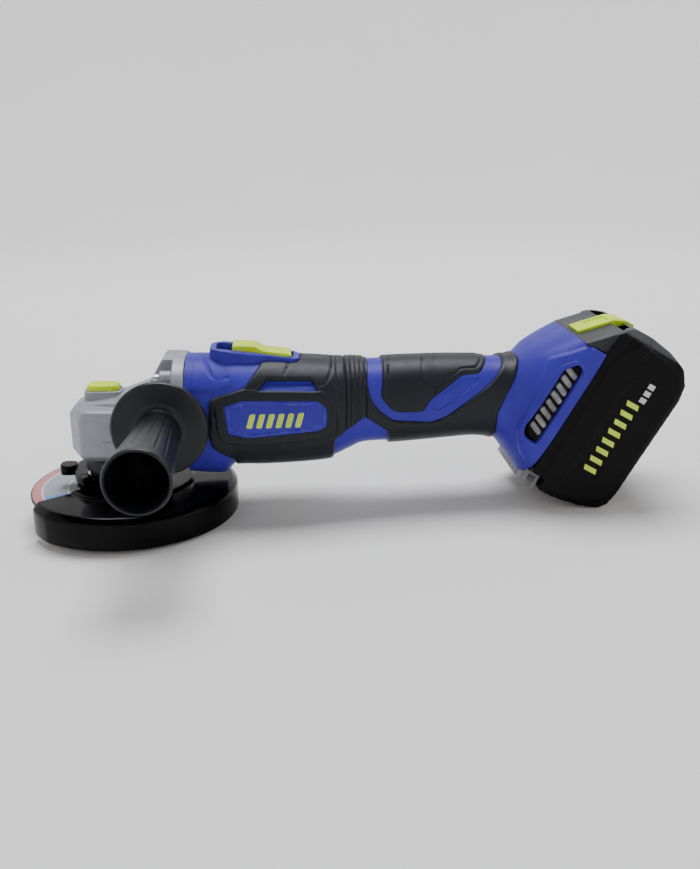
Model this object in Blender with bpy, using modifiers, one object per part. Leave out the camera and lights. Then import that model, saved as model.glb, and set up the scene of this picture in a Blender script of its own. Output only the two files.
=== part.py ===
"""Battery angle grinder, built as an assembly of separate parts.

The origin is the centre of the spindle's lower end face. +X runs back along the tool to the battery,
+Z runs up the spindle, and the side handle points along -Y. Every length below is in millimetres and
is scaled to metres when a mesh is made.
"""

import math

import bmesh
import bpy
from mathutils import Matrix, Vector

MM = 0.001
GAP = 0.3

# Wheel end
DISC_RADIUS = 57.5
DISC_BORE = 11.15
DISC_LOW, DISC_TOP = 7.0, 9.0
GUARD_RADIUS = 63.8
GUARD_RIM = -6.0
GUARD_TOP = 13.5
GUARD_SHEET = 1.5
GUARD_START, GUARD_SWEEP = 208.0, 185.0
NECK_RADIUS = 19.5
CAP_LOW, CAP_FLANGE, CAP_TOP = 12.9, 21.5, 26.3
SPINDLE_TOP = 64.0

# Gear head
MOTOR_Z = 56.6
FLANGE_FRONT, FLANGE_BACK = 30.5, 37.0
GEAR_RATIO = 3.0
PINION_TEETH = 10
TOOTH_INNER, TOOTH_OUTER = 14.2, 20.2
TOOTH_HEIGHT = 0.75
TOOTH_CLEARANCE = 0.3
LOCK_X = -11.5
SCREWS = ((18.0, 77.6, 20.0), (-18.0, 77.6, 20.0), (22.5, 40.5, 26.0), (-22.5, 40.5, 26.0))

# Side handle
HANDLE_X, HANDLE_Z = 25.3, 57.0
BOSS_FACE = 33.5
HANDLE_END = 123.8

# Motor
STATOR_FRONT, STATOR_BACK = 61.0, 101.0
STATOR_RADIUS = 24.5
BULKHEAD_FRONT, BULKHEAD_BACK = 107.0, 113.0

# Motor housing, grip and foot: top x and z, bottom x and z, half width, squareness of the section
STATIONS = (
    (37.3, 88.4, 37.3, 24.8, 31.8, 2.15),
    (60, 88.4, 60, 24.6, 31.8, 2.2),
    (80, 87.6, 80, 24.4, 31.2, 2.3),
    (104, 85.6, 104, 25.4, 29.8, 2.3),
    (120, 84.6, 120, 27.2, 28.0, 2.3),
    (130, 84.4, 130, 31.2, 25.5, 2.2),
    (140, 84.2, 140, 35.0, 23.6, 2.15),
    (160, 85.0, 160, 36.0, 23.2, 2.15),
    (185, 85.6, 185, 38.0, 22.6, 2.15),
    (205, 85.4, 205, 39.4, 22.4, 2.15),
    (218, 85.2, 217, 37.0, 22.8, 2.2),
    (228, 85.8, 224, 29.0, 25.5, 2.5),
    (238, 93.0, 230, 20.5, 32.0, 3.2),
    (252, 100.0, 234, 15.5, 35.0, 4.0),
    (268, 107.0, 236, 14.5, 36.0, 4.5),
    (283, 111.5, 239, 14.2, 36.0, 4.5),
)
RING_POINTS = 24
RING_PLACES = (0, 1.5, 3, 4, 4.5, 5, 5.5, 6, 7, 8.5, 9.5, 10, 10.5, 11, 11.5, 12, 13, 14, 15)
RIB_PLACES = (4.15, 4.35, 4.55, 4.75, 4.95, 5.15, 5.35, 5.55, 5.75, 5.95)
WALL = 3.5
RUBBER_DEPTH = 1.3
RUBBER_RISE = 0.6
RIB_DEPTH = 1.1

# Rubber, panels and stripes, as side outlines of x and z
RUBBER_OUTLINE = (
    (80.6, 120), (80.6, 85.9), (70.4, 74.2), (51.8, 68.6), (50.9, 48.2), (52.2, 42.2), (64.6, 31.8),
    (64.6, 5), (213, 5), (216.3, 44), (215.3, 56.2), (219.9, 67.9), (225.9, 78.3), (229.5, 86.7),
    (229.5, 120),
)
WINDOW_OUTLINE = ((77.8, 73.0), (82.8, 78.4), (108.6, 77.5), (112.7, 71.7))
PANEL_OUTLINE = (
    (59.5, 65.4), (70.0, 68.4), (111.8, 66.9), (116.5, 62.7), (116.5, 53.0), (112.1, 50.5),
    (72.9, 47.4), (61.1, 50.1),
)
STRIPE_OUTLINE = (
    (141.8, 120), (141.0, 84.2), (140.1, 76.1), (141.5, 65.7), (147.2, 58.7), (155.0, 53.0),
    (177.7, 51.3), (185.8, 54.5), (211.7, 73.7), (217.5, 79.9), (221.0, 85.1), (221.6, 120),
    (212.0, 120), (211.6, 85.3), (210.1, 84.3), (205.5, 79.1), (194.7, 78.7), (175.2, 65.0),
    (172.7, 58.9), (155.8, 59.1), (148.4, 67.3), (150.2, 84.6), (150.4, 120),
)
PAD_OUTLINE = (
    (150.4, 120), (150.2, 84.6), (148.4, 67.3), (155.8, 59.1), (172.7, 58.9), (175.2, 65.0),
    (194.7, 78.7), (205.5, 79.1), (210.1, 84.3), (211.6, 85.3), (212.0, 120),
)
BELLY_OUTLINE = ((121.0, 44.0), (138.7, 57.0), (153.0, 46.6), (156.0, 5.0), (121.0, 5.0))
BEZEL_OUTLINE = (
    (50.5, -8), (57, -14.5), (76, -15), (84, -11.5), (99, -11), (102, -7),
    (102, 7), (99, 11), (84, 11.5), (76, 15), (57, 14.5), (50.5, 8),
)

# Foot and battery, measured across (s) and along (t) the sloping joint between them
SLOPE = math.radians(29.0)
FOOT_FACE = 192.5
FOOT_TOP = 214.0
VENT_OUTLINE = (
    (182.0, 202.0), (186.2, 200.2), (186.8, 150.8), (179.2, 151.3), (176.6, 156.2), (176.6, 195.0),
)
RAIL_LOW = 140.0
PACK_FACE = 193.0
PACK_BACK = 245.0
PACK_LOW, PACK_TOP = 128.3, 236.0
PACK_HALF_WIDTH = 37.0
PACK_SEAM = 213.0
PACK_WALL = 2.5
SHOULDER_HALF_WIDTH = 33.0
CELL_RADIUS = 9.1
CELL_LAYERS = (211.6, 231.4)
CELL_FIRST, CELL_PITCH = 145.0, 18.8
CELL_HALF_LENGTH = 32.5
BUTTON_HALF_WIDTH = 9.5

COLOURS = {
    "blue": ((0.055, 0.075, 0.48), 0.38, 0.0),
    "lime": ((0.52, 0.72, 0.03), 0.42, 0.0),
    "rubber": ((0.018, 0.021, 0.026), 0.75, 0.0),
    "black_plastic": ((0.012, 0.012, 0.014), 0.45, 0.0),
    "cast": ((0.33, 0.33, 0.36), 0.42, 0.85),
    "guard_paint": ((0.008, 0.008, 0.009), 0.18, 0.0),
    "steel": ((0.45, 0.45, 0.46), 0.3, 1.0),
    "zinc": ((0.52, 0.52, 0.5), 0.35, 1.0),
    "abrasive": ((0.05, 0.045, 0.04), 0.9, 0.0),
    "copper": ((0.62, 0.25, 0.12), 0.35, 1.0),
    "board": ((0.02, 0.2, 0.07), 0.5, 0.0),
    "cell_wrap": ((0.02, 0.25, 0.42), 0.4, 0.0),
}

UP = Vector((0, 0, 1))
TILT = Matrix.Rotation(SLOPE, 4, "Y")


def clear_scene():
    for obj in list(bpy.data.objects):
        bpy.data.objects.remove(obj, do_unlink=True)


def make_collection(name, helpers):
    collection = bpy.data.collections.new(name)
    bpy.context.scene.collection.children.link(collection)
    collection.hide_render = helpers
    return collection


def make_materials():
    found = {}
    for name, (colour, roughness, metallic) in COLOURS.items():
        material = bpy.data.materials.new(name)
        material.use_nodes = True
        shader = material.node_tree.nodes["Principled BSDF"]
        shader.inputs["Base Color"].default_value = (*colour, 1.0)
        shader.inputs["Roughness"].default_value = roughness
        shader.inputs["Metallic"].default_value = metallic
        found[name] = material
    return found


clear_scene()
PARTS = make_collection("angle_grinder", helpers=False)
CUTTERS = make_collection("angle_grinder_cutters", helpers=True)
MATERIALS = make_materials()


# Shapes, each a bmesh in millimetres


def block(low, high):
    """A box between two corners."""
    bm = bmesh.new()
    bmesh.ops.create_cube(bm, size=1.0)
    low, high = Vector(low), Vector(high)
    bmesh.ops.scale(bm, vec=high - low, verts=bm.verts)
    bmesh.ops.translate(bm, vec=(low + high) / 2, verts=bm.verts)
    return bm


def rod(radius, start, end, steps=24):
    """A round bar between two points."""
    bm = bmesh.new()
    start, end = Vector(start), Vector(end)
    length = (end - start).length
    bmesh.ops.create_cone(bm, cap_ends=True, segments=steps, radius1=radius, radius2=radius, depth=length)
    bmesh.ops.rotate(bm, matrix=UP.rotation_difference(end - start).to_matrix(), verts=bm.verts)
    bmesh.ops.translate(bm, vec=(start + end) / 2, verts=bm.verts)
    return bm


def turned(profile, start=(0, 0, 0), axis=(0, 0, 1), steps=24):
    """The profile of a turned piece, as radius and height pairs, with the axis it is swept round."""
    loop = list(profile)
    closed = min(radius for radius, _ in loop) > 0
    area = sum(a[0] * b[1] - b[0] * a[1] for a, b in zip(loop, loop[1:] + loop[:1]))
    if area > 0:
        loop.reverse()
    bm = bmesh.new()
    points = [bm.verts.new((radius, 0, height)) for radius, height in loop]
    for pair in zip(points, points[1:]):
        bm.edges.new(pair)
    if closed:
        bm.edges.new((points[-1], points[0]))
    return bm, Vector(start), Vector(axis), steps


def ring(inner, outer, low, high, start=(0, 0, 0), axis=(0, 0, 1), steps=24):
    """A plain tube along an axis."""
    return turned(((inner, low), (outer, low), (outer, high), (inner, high)), start, axis, steps)


def loft(rings, closed=False):
    """A skin through equal rings of points, capped at both ends unless it closes on itself."""
    bm = bmesh.new()
    rows = [[bm.verts.new(point) for point in points] for points in rings]
    pairs = list(zip(rows, rows[1:]))
    if closed:
        pairs.append((rows[-1], rows[0]))
    count = len(rows[0])
    for near, far in pairs:
        for i in range(count):
            j = (i + 1) % count
            bm.faces.new((near[i], near[j], far[j], far[i]))
    if not closed:
        bm.faces.new(rows[0])
        bm.faces.new(rows[-1])
    return bm


def extruded(outline, travel):
    """A flat outline carried straight along a vector."""
    bm = bmesh.new()
    face = bm.faces.new([bm.verts.new(point) for point in outline])
    swept = bmesh.ops.extrude_face_region(bm, geom=[face])["geom"]
    moved = [item for item in swept if isinstance(item, bmesh.types.BMVert)]
    bmesh.ops.translate(bm, vec=travel, verts=moved)
    return bm


def side_prism(outline, low=-60.0, high=60.0):
    """An outline of x and z carried along Y."""
    return extruded([(x, low, z) for x, z in outline], (0, high - low, 0))


def plan_prism(outline, low, high):
    """An outline of x and y carried along Z."""
    return extruded([(x, y, low) for x, y in outline], (0, 0, high - low))


def front_prism(outline, low, high):
    """An outline of y and z carried along X."""
    return extruded([(low, y, z) for y, z in outline], (high - low, 0, 0))


def oval(half_x, half_y, squareness, count=24):
    """A rounded-square outline about the origin."""
    points = []
    for i in range(count):
        angle = 2 * math.pi * i / count
        cosine, sine = math.cos(angle), math.sin(angle)
        x = half_x * math.copysign(abs(cosine) ** (2 / squareness), cosine)
        y = half_y * math.copysign(abs(sine) ** (2 / squareness), sine)
        points.append((x, y))
    return points


def grown(outline, distance):
    """An outline moved outwards by a distance. A negative distance moves it inwards."""
    area = sum(a[0] * b[1] - b[0] * a[1] for a, b in zip(outline, outline[1:] + outline[:1]))
    side = math.copysign(1.0, area)
    points = []
    count = len(outline)
    for i in range(count):
        here = Vector(outline[i])
        before = (here - Vector(outline[i - 1])).normalized()
        after = (Vector(outline[(i + 1) % count]) - here).normalized()
        normal_before = Vector((before.y, -before.x)) * side
        normal_after = Vector((after.y, -after.x)) * side
        middle = (normal_before + normal_after).normalized()
        reach = distance / max(middle.dot(normal_after), 0.5)
        points.append(tuple(here + middle * reach))
    return tuple(points)


# Objects


def place(name, shape, material, collection, origin, tilted):
    """An object from a bmesh, or from a turned profile, which gets its origin on its own axis."""
    is_turned = isinstance(shape, tuple)
    bm = shape[0] if is_turned else shape
    if tilted:
        bmesh.ops.transform(bm, matrix=TILT, verts=bm.verts)
    if not is_turned:
        bmesh.ops.remove_doubles(bm, verts=bm.verts, dist=1e-4)
        bmesh.ops.recalc_face_normals(bm, faces=bm.faces)
        bmesh.ops.translate(bm, vec=-Vector(origin), verts=bm.verts)
    bmesh.ops.scale(bm, vec=(MM, MM, MM), verts=bm.verts)
    mesh = bpy.data.meshes.new(name)
    bm.to_mesh(mesh)
    bm.free()
    mesh.shade_smooth()
    mesh.set_sharp_from_angle(angle=math.radians(38))
    obj = bpy.data.objects.new(name, mesh)
    obj.location = Vector(origin) * MM
    if is_turned:
        _, start, axis, steps = shape
        obj.location = start * MM
        obj.rotation_mode = "QUATERNION"
        obj.rotation_quaternion = UP.rotation_difference(axis)
        sweep = obj.modifiers.new("turned", "SCREW")
        sweep.axis = "Z"
        sweep.steps = steps
        sweep.render_steps = steps
        sweep.use_merge_vertices = True
        sweep.merge_threshold = 1e-5
        sweep.use_smooth_shade = True
    if material:
        mesh.materials.append(MATERIALS[material])
    collection.objects.link(obj)
    return obj


def part(name, shape, material, origin=(0, 0, 0), tilted=False):
    """A real piece of the tool, with its origin on the axis it moves on."""
    return place(name, shape, material, PARTS, origin, tilted)


def helper(name, shape, tilted=False):
    """A shape that only cuts, joins or trims a piece."""
    obj = place(name, shape, None, CUTTERS, (0, 0, 0), tilted)
    obj.hide_render = True
    obj.display_type = "WIRE"
    return obj


def combine(obj, operation, other):
    modifier = obj.modifiers.new(other.name, "BOOLEAN")
    modifier.operation = operation
    modifier.solver = "EXACT"
    modifier.use_self = True
    modifier.object = other


def cut(obj, *others):
    for other in others:
        combine(obj, "DIFFERENCE", other)


def join(obj, *others):
    for other in others:
        combine(obj, "UNION", other)


def keep(obj, *others):
    for other in others:
        combine(obj, "INTERSECT", other)


def rounded(obj, width, segments=2, angle=35.0):
    modifier = obj.modifiers.new("rounded edges", "BEVEL")
    modifier.width = width * MM
    modifier.segments = segments
    modifier.limit_method = "ANGLE"
    modifier.angle_limit = math.radians(angle)
    modifier.use_clamp_overlap = True


# Body surface


def station(place_along):
    """The body section at a fractional station number, by a smooth curve through the stations."""
    last = len(STATIONS) - 1
    low = min(int(place_along), last - 1)
    blend = place_along - low
    before, start = STATIONS[max(low - 1, 0)], STATIONS[low]
    end, after = STATIONS[low + 1], STATIONS[min(low + 2, last)]
    section = []
    for a, b, c, d in zip(before, start, end, after):
        curve = 2 * b + (c - a) * blend + (2 * a - 5 * b + 4 * c - d) * blend**2
        section.append((curve + (3 * b - a - 3 * c + d) * blend**3) / 2)
    return section


def body_ring(place_along, offset):
    top_x, top_z, low_x, low_z, half_width, squareness = station(place_along)
    middle_x, middle_z = (top_x + low_x) / 2, (top_z + low_z) / 2
    lean = Vector((top_x - low_x, 0, top_z - low_z))
    half_height = lean.length / 2
    lean.normalize()
    points = []
    for along, across in oval(half_height + offset, half_width + offset, squareness, RING_POINTS):
        points.append((middle_x + along * lean.x, -across, middle_z + along * lean.z))
    return points


def body(offset):
    """The smooth outside of the housing, grip and foot, moved outwards by an offset."""
    return loft([body_ring(place_along, offset) for place_along in RING_PLACES])


def ribbed_body(offset):
    """The rubber's outside, with bellows ribs in front of the grip."""
    rings = {place_along: offset for place_along in RING_PLACES}
    for i, place_along in enumerate(RIB_PLACES):
        rings[place_along] = offset - (RIB_DEPTH if i % 2 else 0.0)
    return loft([body_ring(place_along, rings[place_along]) for place_along in sorted(rings)])


# Gear head


def gear_case():
    """Die-cast head: gear chamber, ridge up to the motor flange, screw and handle bosses."""
    walls = ((26.6, 31.5, 28.0), (30, 33.4, 29.6), (37, 34.3, 30.0), (55, 33.2, 29.4), (62.6, 25.0, 22.5))
    rings = [[(x, y, z) for x, y in oval(half_x, half_y, 2.6)] for z, half_x, half_y in walls]
    case = part("gear_case", loft(rings), "cast")
    ridge = (
        (-12, 61.5, 42, 13, 2.2), (3.6, 70.4, 34, 21, 2.2), (15, 74.6, 30, 27, 2.3),
        (24, 79.0, 28, 30.5, 2.4), (FLANGE_FRONT + 1, 86.0, 26.0, 32.0, 2.4),
    )
    rings = []
    for x, top, low, half_width, squareness in ridge:
        outline = oval((top - low) / 2, half_width, squareness)
        rings.append([(x, -y, (top + low) / 2 + z) for z, y in outline])
    join(case, helper("case_ridge", loft(rings)))
    outline = [(y, MOTOR_Z + z) for z, y in oval(33.0, 33.0, 2.5)]
    join(case, helper("case_flange", front_prism(outline, FLANGE_FRONT, FLANGE_BACK)))
    for i, (y, z, head) in enumerate(SCREWS):
        boss = rod(5.2, (head + 3.5, y, z), (FLANGE_FRONT + 1, y, z), 16)
        join(case, helper(f"case_screw_boss_{i + 1}", boss))
    boss = rod(10.5, (HANDLE_X, -BOSS_FACE, HANDLE_Z), (HANDLE_X, BOSS_FACE, HANDLE_Z))
    join(case, helper("case_handle_boss", boss))
    pedestal = [(x + LOCK_X, y) for x, y in oval(10.6, 7.6, 5.0, 20)]
    join(case, helper("case_pedestal", plan_prism(pedestal, 56, 70)))

    chamber = [[(x, y, z) for x, y in oval(27, 24, 2.4)] for z in (31.0, 54.0)]
    cut(case, helper("case_chamber", loft(chamber)))
    cut(case, helper("case_mouth", rod(22.3, (0, 0, 20), (0, 0, 32))))
    cut(case, helper("case_pinion_bore", rod(9.0, (7.5, 0, MOTOR_Z), (23, 0, MOTOR_Z))))
    cut(case, helper("case_bearing_bore", rod(11.3, (22.5, 0, MOTOR_Z), (32, 0, MOTOR_Z))))
    cut(case, helper("case_back_recess", rod(24.8, (FLANGE_FRONT, 0, MOTOR_Z), (40, 0, MOTOR_Z))))
    cut(case, helper("case_spindle_bore", rod(6.3, (0, 0, 50), (0, 0, 64.6), 24)))
    cut(case, helper("case_pin_hole", rod(2.3, (LOCK_X, 0, 50), (LOCK_X, 0, 60), 16)))
    cut(case, helper("case_spring_bore", rod(4.0, (LOCK_X, 0, 57.6), (LOCK_X, 0, 66), 20)))
    pocket = [(x + LOCK_X, y) for x, y in oval(9.5, 6.5, 5.0, 20)]
    cut(case, helper("case_button_pocket", plan_prism(pocket, 63.6, 74)))
    for side in (-1, 1):
        hole = rod(4.3, (HANDLE_X, side * 16.5, HANDLE_Z), (HANDLE_X, side * 40, HANDLE_Z), 24)
        cut(case, helper(f"case_handle_hole_{'left' if side < 0 else 'right'}", hole))
        corners = ((side * 10, 79.6), (side * 17, 76.4), (side * 15.4, 72.8), (side * 8.6, 75.6))
        slot = front_prism(corners, 26, 33)
        cut(case, helper(f"case_exhaust_{'left' if side < 0 else 'right'}", slot))
    for i, (y, z, head) in enumerate(SCREWS):
        cut(case, helper(f"case_screw_hole_{i + 1}", rod(2.2, (head, y, z), (40, y, z), 12)))
        depth = 12.0 if z > MOTOR_Z else 4.0
        counterbore = rod(4.3, (head + 3.5 - depth, y, z), (head + 3.5, y, z), 16)
        cut(case, helper(f"case_counterbore_{i + 1}", counterbore))


def head_fittings():
    """Bearings, bearing cap and the screws that hold the head on."""
    part("spindle_bearing_upper", ring(4.1, 6.0, 55.5, 64.0, steps=24), "steel")
    part("spindle_bearing_lower", ring(6.1, 15.9, 17.3, 27.3), "steel")
    cap = part("bearing_cap", plan_prism(oval(29.5, 26.5, 2.6), CAP_FLANGE, CAP_TOP), "cast")
    join(cap, helper("cap_neck", rod(NECK_RADIUS, (0, 0, CAP_LOW), (0, 0, CAP_FLANGE + 1))))
    join(cap, helper("cap_spigot", rod(22.0, (0, 0, CAP_TOP - 1), (0, 0, 30.6))))
    cut(cap, helper("cap_bearing_bore", rod(16.2, (0, 0, 17), (0, 0, 32))))
    cut(cap, helper("cap_opening", rod(8.4, (0, 0, 10), (0, 0, 18))))
    shaft_line = (0, 0, MOTOR_Z)
    part("rotor_bearing_front", ring(4.3, 11.0, 23.2, 30.2, shaft_line, (1, 0, 0)), "steel")
    part("rotor_bearing_rear", ring(3.8, 9.5, 107.2, 112.8, shaft_line, (1, 0, 0)), "steel")
    part("bearing_plate", ring(5.6, 20.0, 30.8, 33.3, shaft_line, (1, 0, 0)), "zinc")
    for i, (y, z, head) in enumerate(SCREWS):
        profile = ((0, 0), (3.0, 0), (3.6, 0.8), (3.6, 3.2), (1.9, 3.2), (1.9, 43.0 - head), (0, 43.0 - head))
        part(f"gear_case_screw_{i + 1}", turned(profile, (head, y, z), (1, 0, 0), 12), "zinc")


# Gears and the turning parts


def tooth_angles(teeth):
    """Angle and height (+1 tip, -1 root) of the four corners of each tooth, from a tip at angle 0."""
    pitch = 2 * math.pi / teeth
    corners = []
    for i in range(teeth):
        for phase, height in ((-35, 1), (35, 1), (125, -1), (235, -1)):
            corners.append((pitch * (i + phase / 360), height))
    return corners


def pinion():
    """Bevel pinion whose pitch cone has its tip where the two shafts cross."""
    rings = []
    for x in (TOOTH_INNER, TOOTH_OUTER):
        scale = x / TOOTH_OUTER
        points = []
        for angle, height in tooth_angles(PINION_TEETH):
            radius = x / GEAR_RATIO - TOOTH_CLEARANCE + TOOTH_HEIGHT * scale * height
            points.append((x, radius * math.sin(angle), MOTOR_Z - radius * math.cos(angle)))
        rings.append(points)
    gear = part("pinion", loft(rings), "steel", (0, 0, MOTOR_Z))
    cut(gear, helper("pinion_bore", rod(2.9, (10, 0, MOTOR_Z), (24, 0, MOTOR_Z), 24)))


def crown_gear():
    """Crown gear on the spindle, teeth up, with a valley under the pinion's lowest tip."""
    teeth = round(PINION_TEETH * GEAR_RATIO)
    shift = math.pi / teeth
    section = (
        (6.1, 41.2), (TOOTH_OUTER, 45.0), (TOOTH_OUTER, None), (TOOTH_INNER, None), (13.8, 47.5), (6.1, 47.5),
    )
    rings = []
    for angle, height in tooth_angles(teeth):
        points = []
        for radius, level in section:
            if level is None:
                tooth = TOOTH_HEIGHT * radius / TOOTH_OUTER * height
                level = MOTOR_Z - radius / GEAR_RATIO - TOOTH_CLEARANCE + tooth
            points.append((radius * math.cos(angle + shift), radius * math.sin(angle + shift), level))
        rings.append(points)
    part("crown_gear", loft(rings, closed=True), "steel")


def spindle_group():
    profile = (
        (0, 0), (6.2, 0), (6.8, 0.8), (6.8, 12.6), (7.7, 12.6), (7.7, 17.0), (5.8, 17.0), (5.8, 27.6),
        (7.5, 27.6), (7.5, 40.9), (5.8, 40.9), (5.8, 53.0), (3.8, 53.0), (3.8, SPINDLE_TOP), (0, SPINDLE_TOP),
    )
    part("spindle", turned(profile, steps=24), "steel")
    profile = (
        (7.1, 7.4), (10.8, 7.4), (10.8, DISC_TOP + GAP), (18.5, DISC_TOP + GAP), (18.5, 12.4), (7.1, 12.4),
    )
    part("inner_flange", turned(profile), "zinc")
    part("abrasive_disc", ring(DISC_BORE, DISC_RADIUS, DISC_LOW, DISC_TOP, steps=48), "abrasive")
    top = DISC_LOW - GAP
    profile = ((7.1, 1.2), (12.0, 1.2), (12.6, 2.4), (18.2, 2.4), (18.2, top), (7.1, top))
    nut = part("clamping_nut", turned(profile), "zinc")
    for i in range(4):
        angle = math.pi * (i / 2 + 0.25)
        x, y = 15.4 * math.cos(angle), 15.4 * math.sin(angle)
        cut(nut, helper(f"nut_spanner_hole_{i + 1}", rod(2.0, (x, y, 0), (x, y, 8), 10)))


def star(teeth, root, tip, width):
    """An outline of a hub of the root radius with straight blades out to the tip radius."""
    points = []
    for i in range(teeth):
        middle = 2 * math.pi * i / teeth
        for radius, side in ((root, -1), (tip, -1), (tip, 1), (root, 1)):
            angle = middle + side * math.asin(width / 2 / radius)
            points.append((radius * math.cos(angle), MOTOR_Z + radius * math.sin(angle)))
    return points


def motor():
    """Rotor with its shaft and fan, and the stator round it."""
    shaft_line, along = (0, 0, MOTOR_Z), (1, 0, 0)
    profile = (
        (0, 12.5), (2.6, 12.5), (2.6, 21.0), (4.0, 21.0), (4.0, 30.4), (5.0, 30.4), (5.0, 106.8),
        (3.5, 106.8), (3.5, 114.0), (0, 114.0),
    )
    part("rotor_shaft", turned(profile, shaft_line, along, 24), "steel", (0, 0, MOTOR_Z))
    part("rotor_core", ring(5.3, 15.4, 62.0, 100.0, shaft_line, along), "steel", (0, 0, MOTOR_Z))
    blades = front_prism(star(9, 8.0, 22.6, 1.4), 46.5, 54.0)
    fan = part("cooling_fan", blades, "black_plastic", (0, 0, MOTOR_Z))
    join(fan, helper("fan_plate", rod(23.4, (45.5, 0, MOTOR_Z), (47.2, 0, MOTOR_Z))))
    cut(fan, helper("fan_bore", rod(5.3, (40, 0, MOTOR_Z), (60, 0, MOTOR_Z), 24)))

    part("air_baffle", ring(18.0, 26.2, 55.4, 57.2, shaft_line, along), "black_plastic")
    stack = ring(15.9, STATOR_RADIUS, STATOR_FRONT, STATOR_BACK, shaft_line, along)
    core = part("stator_core", stack, "steel")
    windings = part("stator_windings", ring(16.6, 21.6, 58.0, 60.7, shaft_line, along), "copper")
    join(windings, helper("windings_back", ring(16.6, 21.6, 101.3, 104.0, shaft_line, along)))
    for i in range(6):
        turn = Matrix.Translation(shaft_line) @ Matrix.Rotation(math.pi * i / 3, 4, "X")
        slot = block((60, -5.0, 15), (102, 5.0, 21.9))
        bmesh.ops.transform(slot, matrix=turn, verts=slot.verts)
        cut(core, helper(f"stator_slot_{i + 1}", slot))
        coil = block((60, -4.6, 16.9), (102, 4.6, 21.0))
        bmesh.ops.transform(coil, matrix=turn, verts=coil.verts)
        join(windings, helper(f"stator_coil_{i + 1}", coil))
    part("sensor_board", ring(9.9, 19.5, 104.6, 106.2, shaft_line, along), "board")


# Guard, lock button, switch and side handle


def guard():
    section = (
        (NECK_RADIUS + GAP, GUARD_TOP), (61.8, GUARD_TOP), (GUARD_RADIUS, GUARD_TOP - 2.0),
        (GUARD_RADIUS, GUARD_RIM), (GUARD_RADIUS - 2.6, GUARD_RIM), (GUARD_RADIUS - 2.6, GUARD_RIM + 1.4),
        (GUARD_RADIUS - GUARD_SHEET, GUARD_RIM + 1.4), (GUARD_RADIUS - GUARD_SHEET, 11.3),
        (61.2, GUARD_TOP - GUARD_SHEET), (NECK_RADIUS + GAP, GUARD_TOP - GUARD_SHEET),
    )
    rings = []
    steps = 30
    for i in range(steps + 1):
        angle = math.radians(GUARD_START + GUARD_SWEEP * i / steps)
        rings.append([(r * math.cos(angle), r * math.sin(angle), z) for r, z in section])
    part("guard", loft(rings), "guard_paint")
    collar = part("guard_collar", ring(NECK_RADIUS + GAP, 23.0, 13.8, 20.6), "guard_paint")
    pivot = lever_pivot()
    direction = Vector((pivot.x, pivot.y, 0)).normalized()
    across = Vector((-direction.y, direction.x, 0)) * 4.0
    outline = []
    for reach, side in ((21.5, -1), (32.4, -1), (32.4, 1), (21.5, 1)):
        corner = direction * reach + across * side
        outline.append((corner.x, corner.y))
    join(collar, helper("collar_lug", plan_prism(outline, 13.9, 15.4)))
    join(collar, helper("collar_pin", rod(1.8, (pivot.x, pivot.y, 15), (pivot.x, pivot.y, 20.8), 16)))


def lever_pivot():
    angle = math.radians(215)
    return Vector((28.6 * math.cos(angle), 28.6 * math.sin(angle), 18.5))


def guard_lever():
    """Clamp lever: an arm round the front of the collar, with a thumb tab that rises beyond the head."""
    outer, inner = [], []
    for i in range(9):
        angle = math.radians(225 - 9.5 * i)
        outer.append((32.0 * math.cos(angle), 32.0 * math.sin(angle)))
        inner.append((25.2 * math.cos(angle), 25.2 * math.sin(angle)))
    pivot = lever_pivot()
    lever = part("guard_lever", plan_prism(outer + inner[::-1], 15.7, 21.2), "black_plastic", tuple(pivot))
    tab = [(x - 36.2, y + 2.0) for x, y in oval(4.4, 10.0, 3.0, 24)]
    join(lever, helper("lever_tab", plan_prism(tab, 15.7, 24.8)))
    cut(lever, helper("lever_bore", rod(2.1, (pivot.x, pivot.y, 10), (pivot.x, pivot.y, 30), 16)))


def spindle_lock():
    outline = [(x + LOCK_X, y) for x, y in oval(9.1, 6.1, 5.0, 20)]
    low = (LOCK_X, 0, 68)
    button = part("lock_button", plan_prism(outline, 68.0, 73.2), "lime", low)
    rounded(button, 0.8)
    profile = ((0, 52.0), (1.9, 52.0), (1.9, 66.2), (3.5, 66.2), (3.5, 67.7), (0, 67.7))
    part("lock_pin", turned(profile, (LOCK_X, 0, 0), steps=20), "steel", low)
    coil = bpy.data.curves.new("lock_spring", "CURVE")
    coil.dimensions = "3D"
    coil.bevel_depth = 0.4 * MM
    coil.bevel_resolution = 0
    coil.use_fill_caps = True
    line = coil.splines.new("POLY")
    turns, per_turn = 4, 10
    line.points.add(turns * per_turn)
    for i, point in enumerate(line.points):
        angle = 2 * math.pi * i / per_turn
        height = 58.2 + 7.4 * i / (turns * per_turn)
        point.co = (3.0 * math.cos(angle) * MM, 3.0 * math.sin(angle) * MM, (height - low[2]) * MM, 1.0)
    spring = bpy.data.objects.new("lock_spring", coil)
    spring.location = Vector(low) * MM
    coil.materials.append(MATERIALS["steel"])
    PARTS.objects.link(spring)


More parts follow.
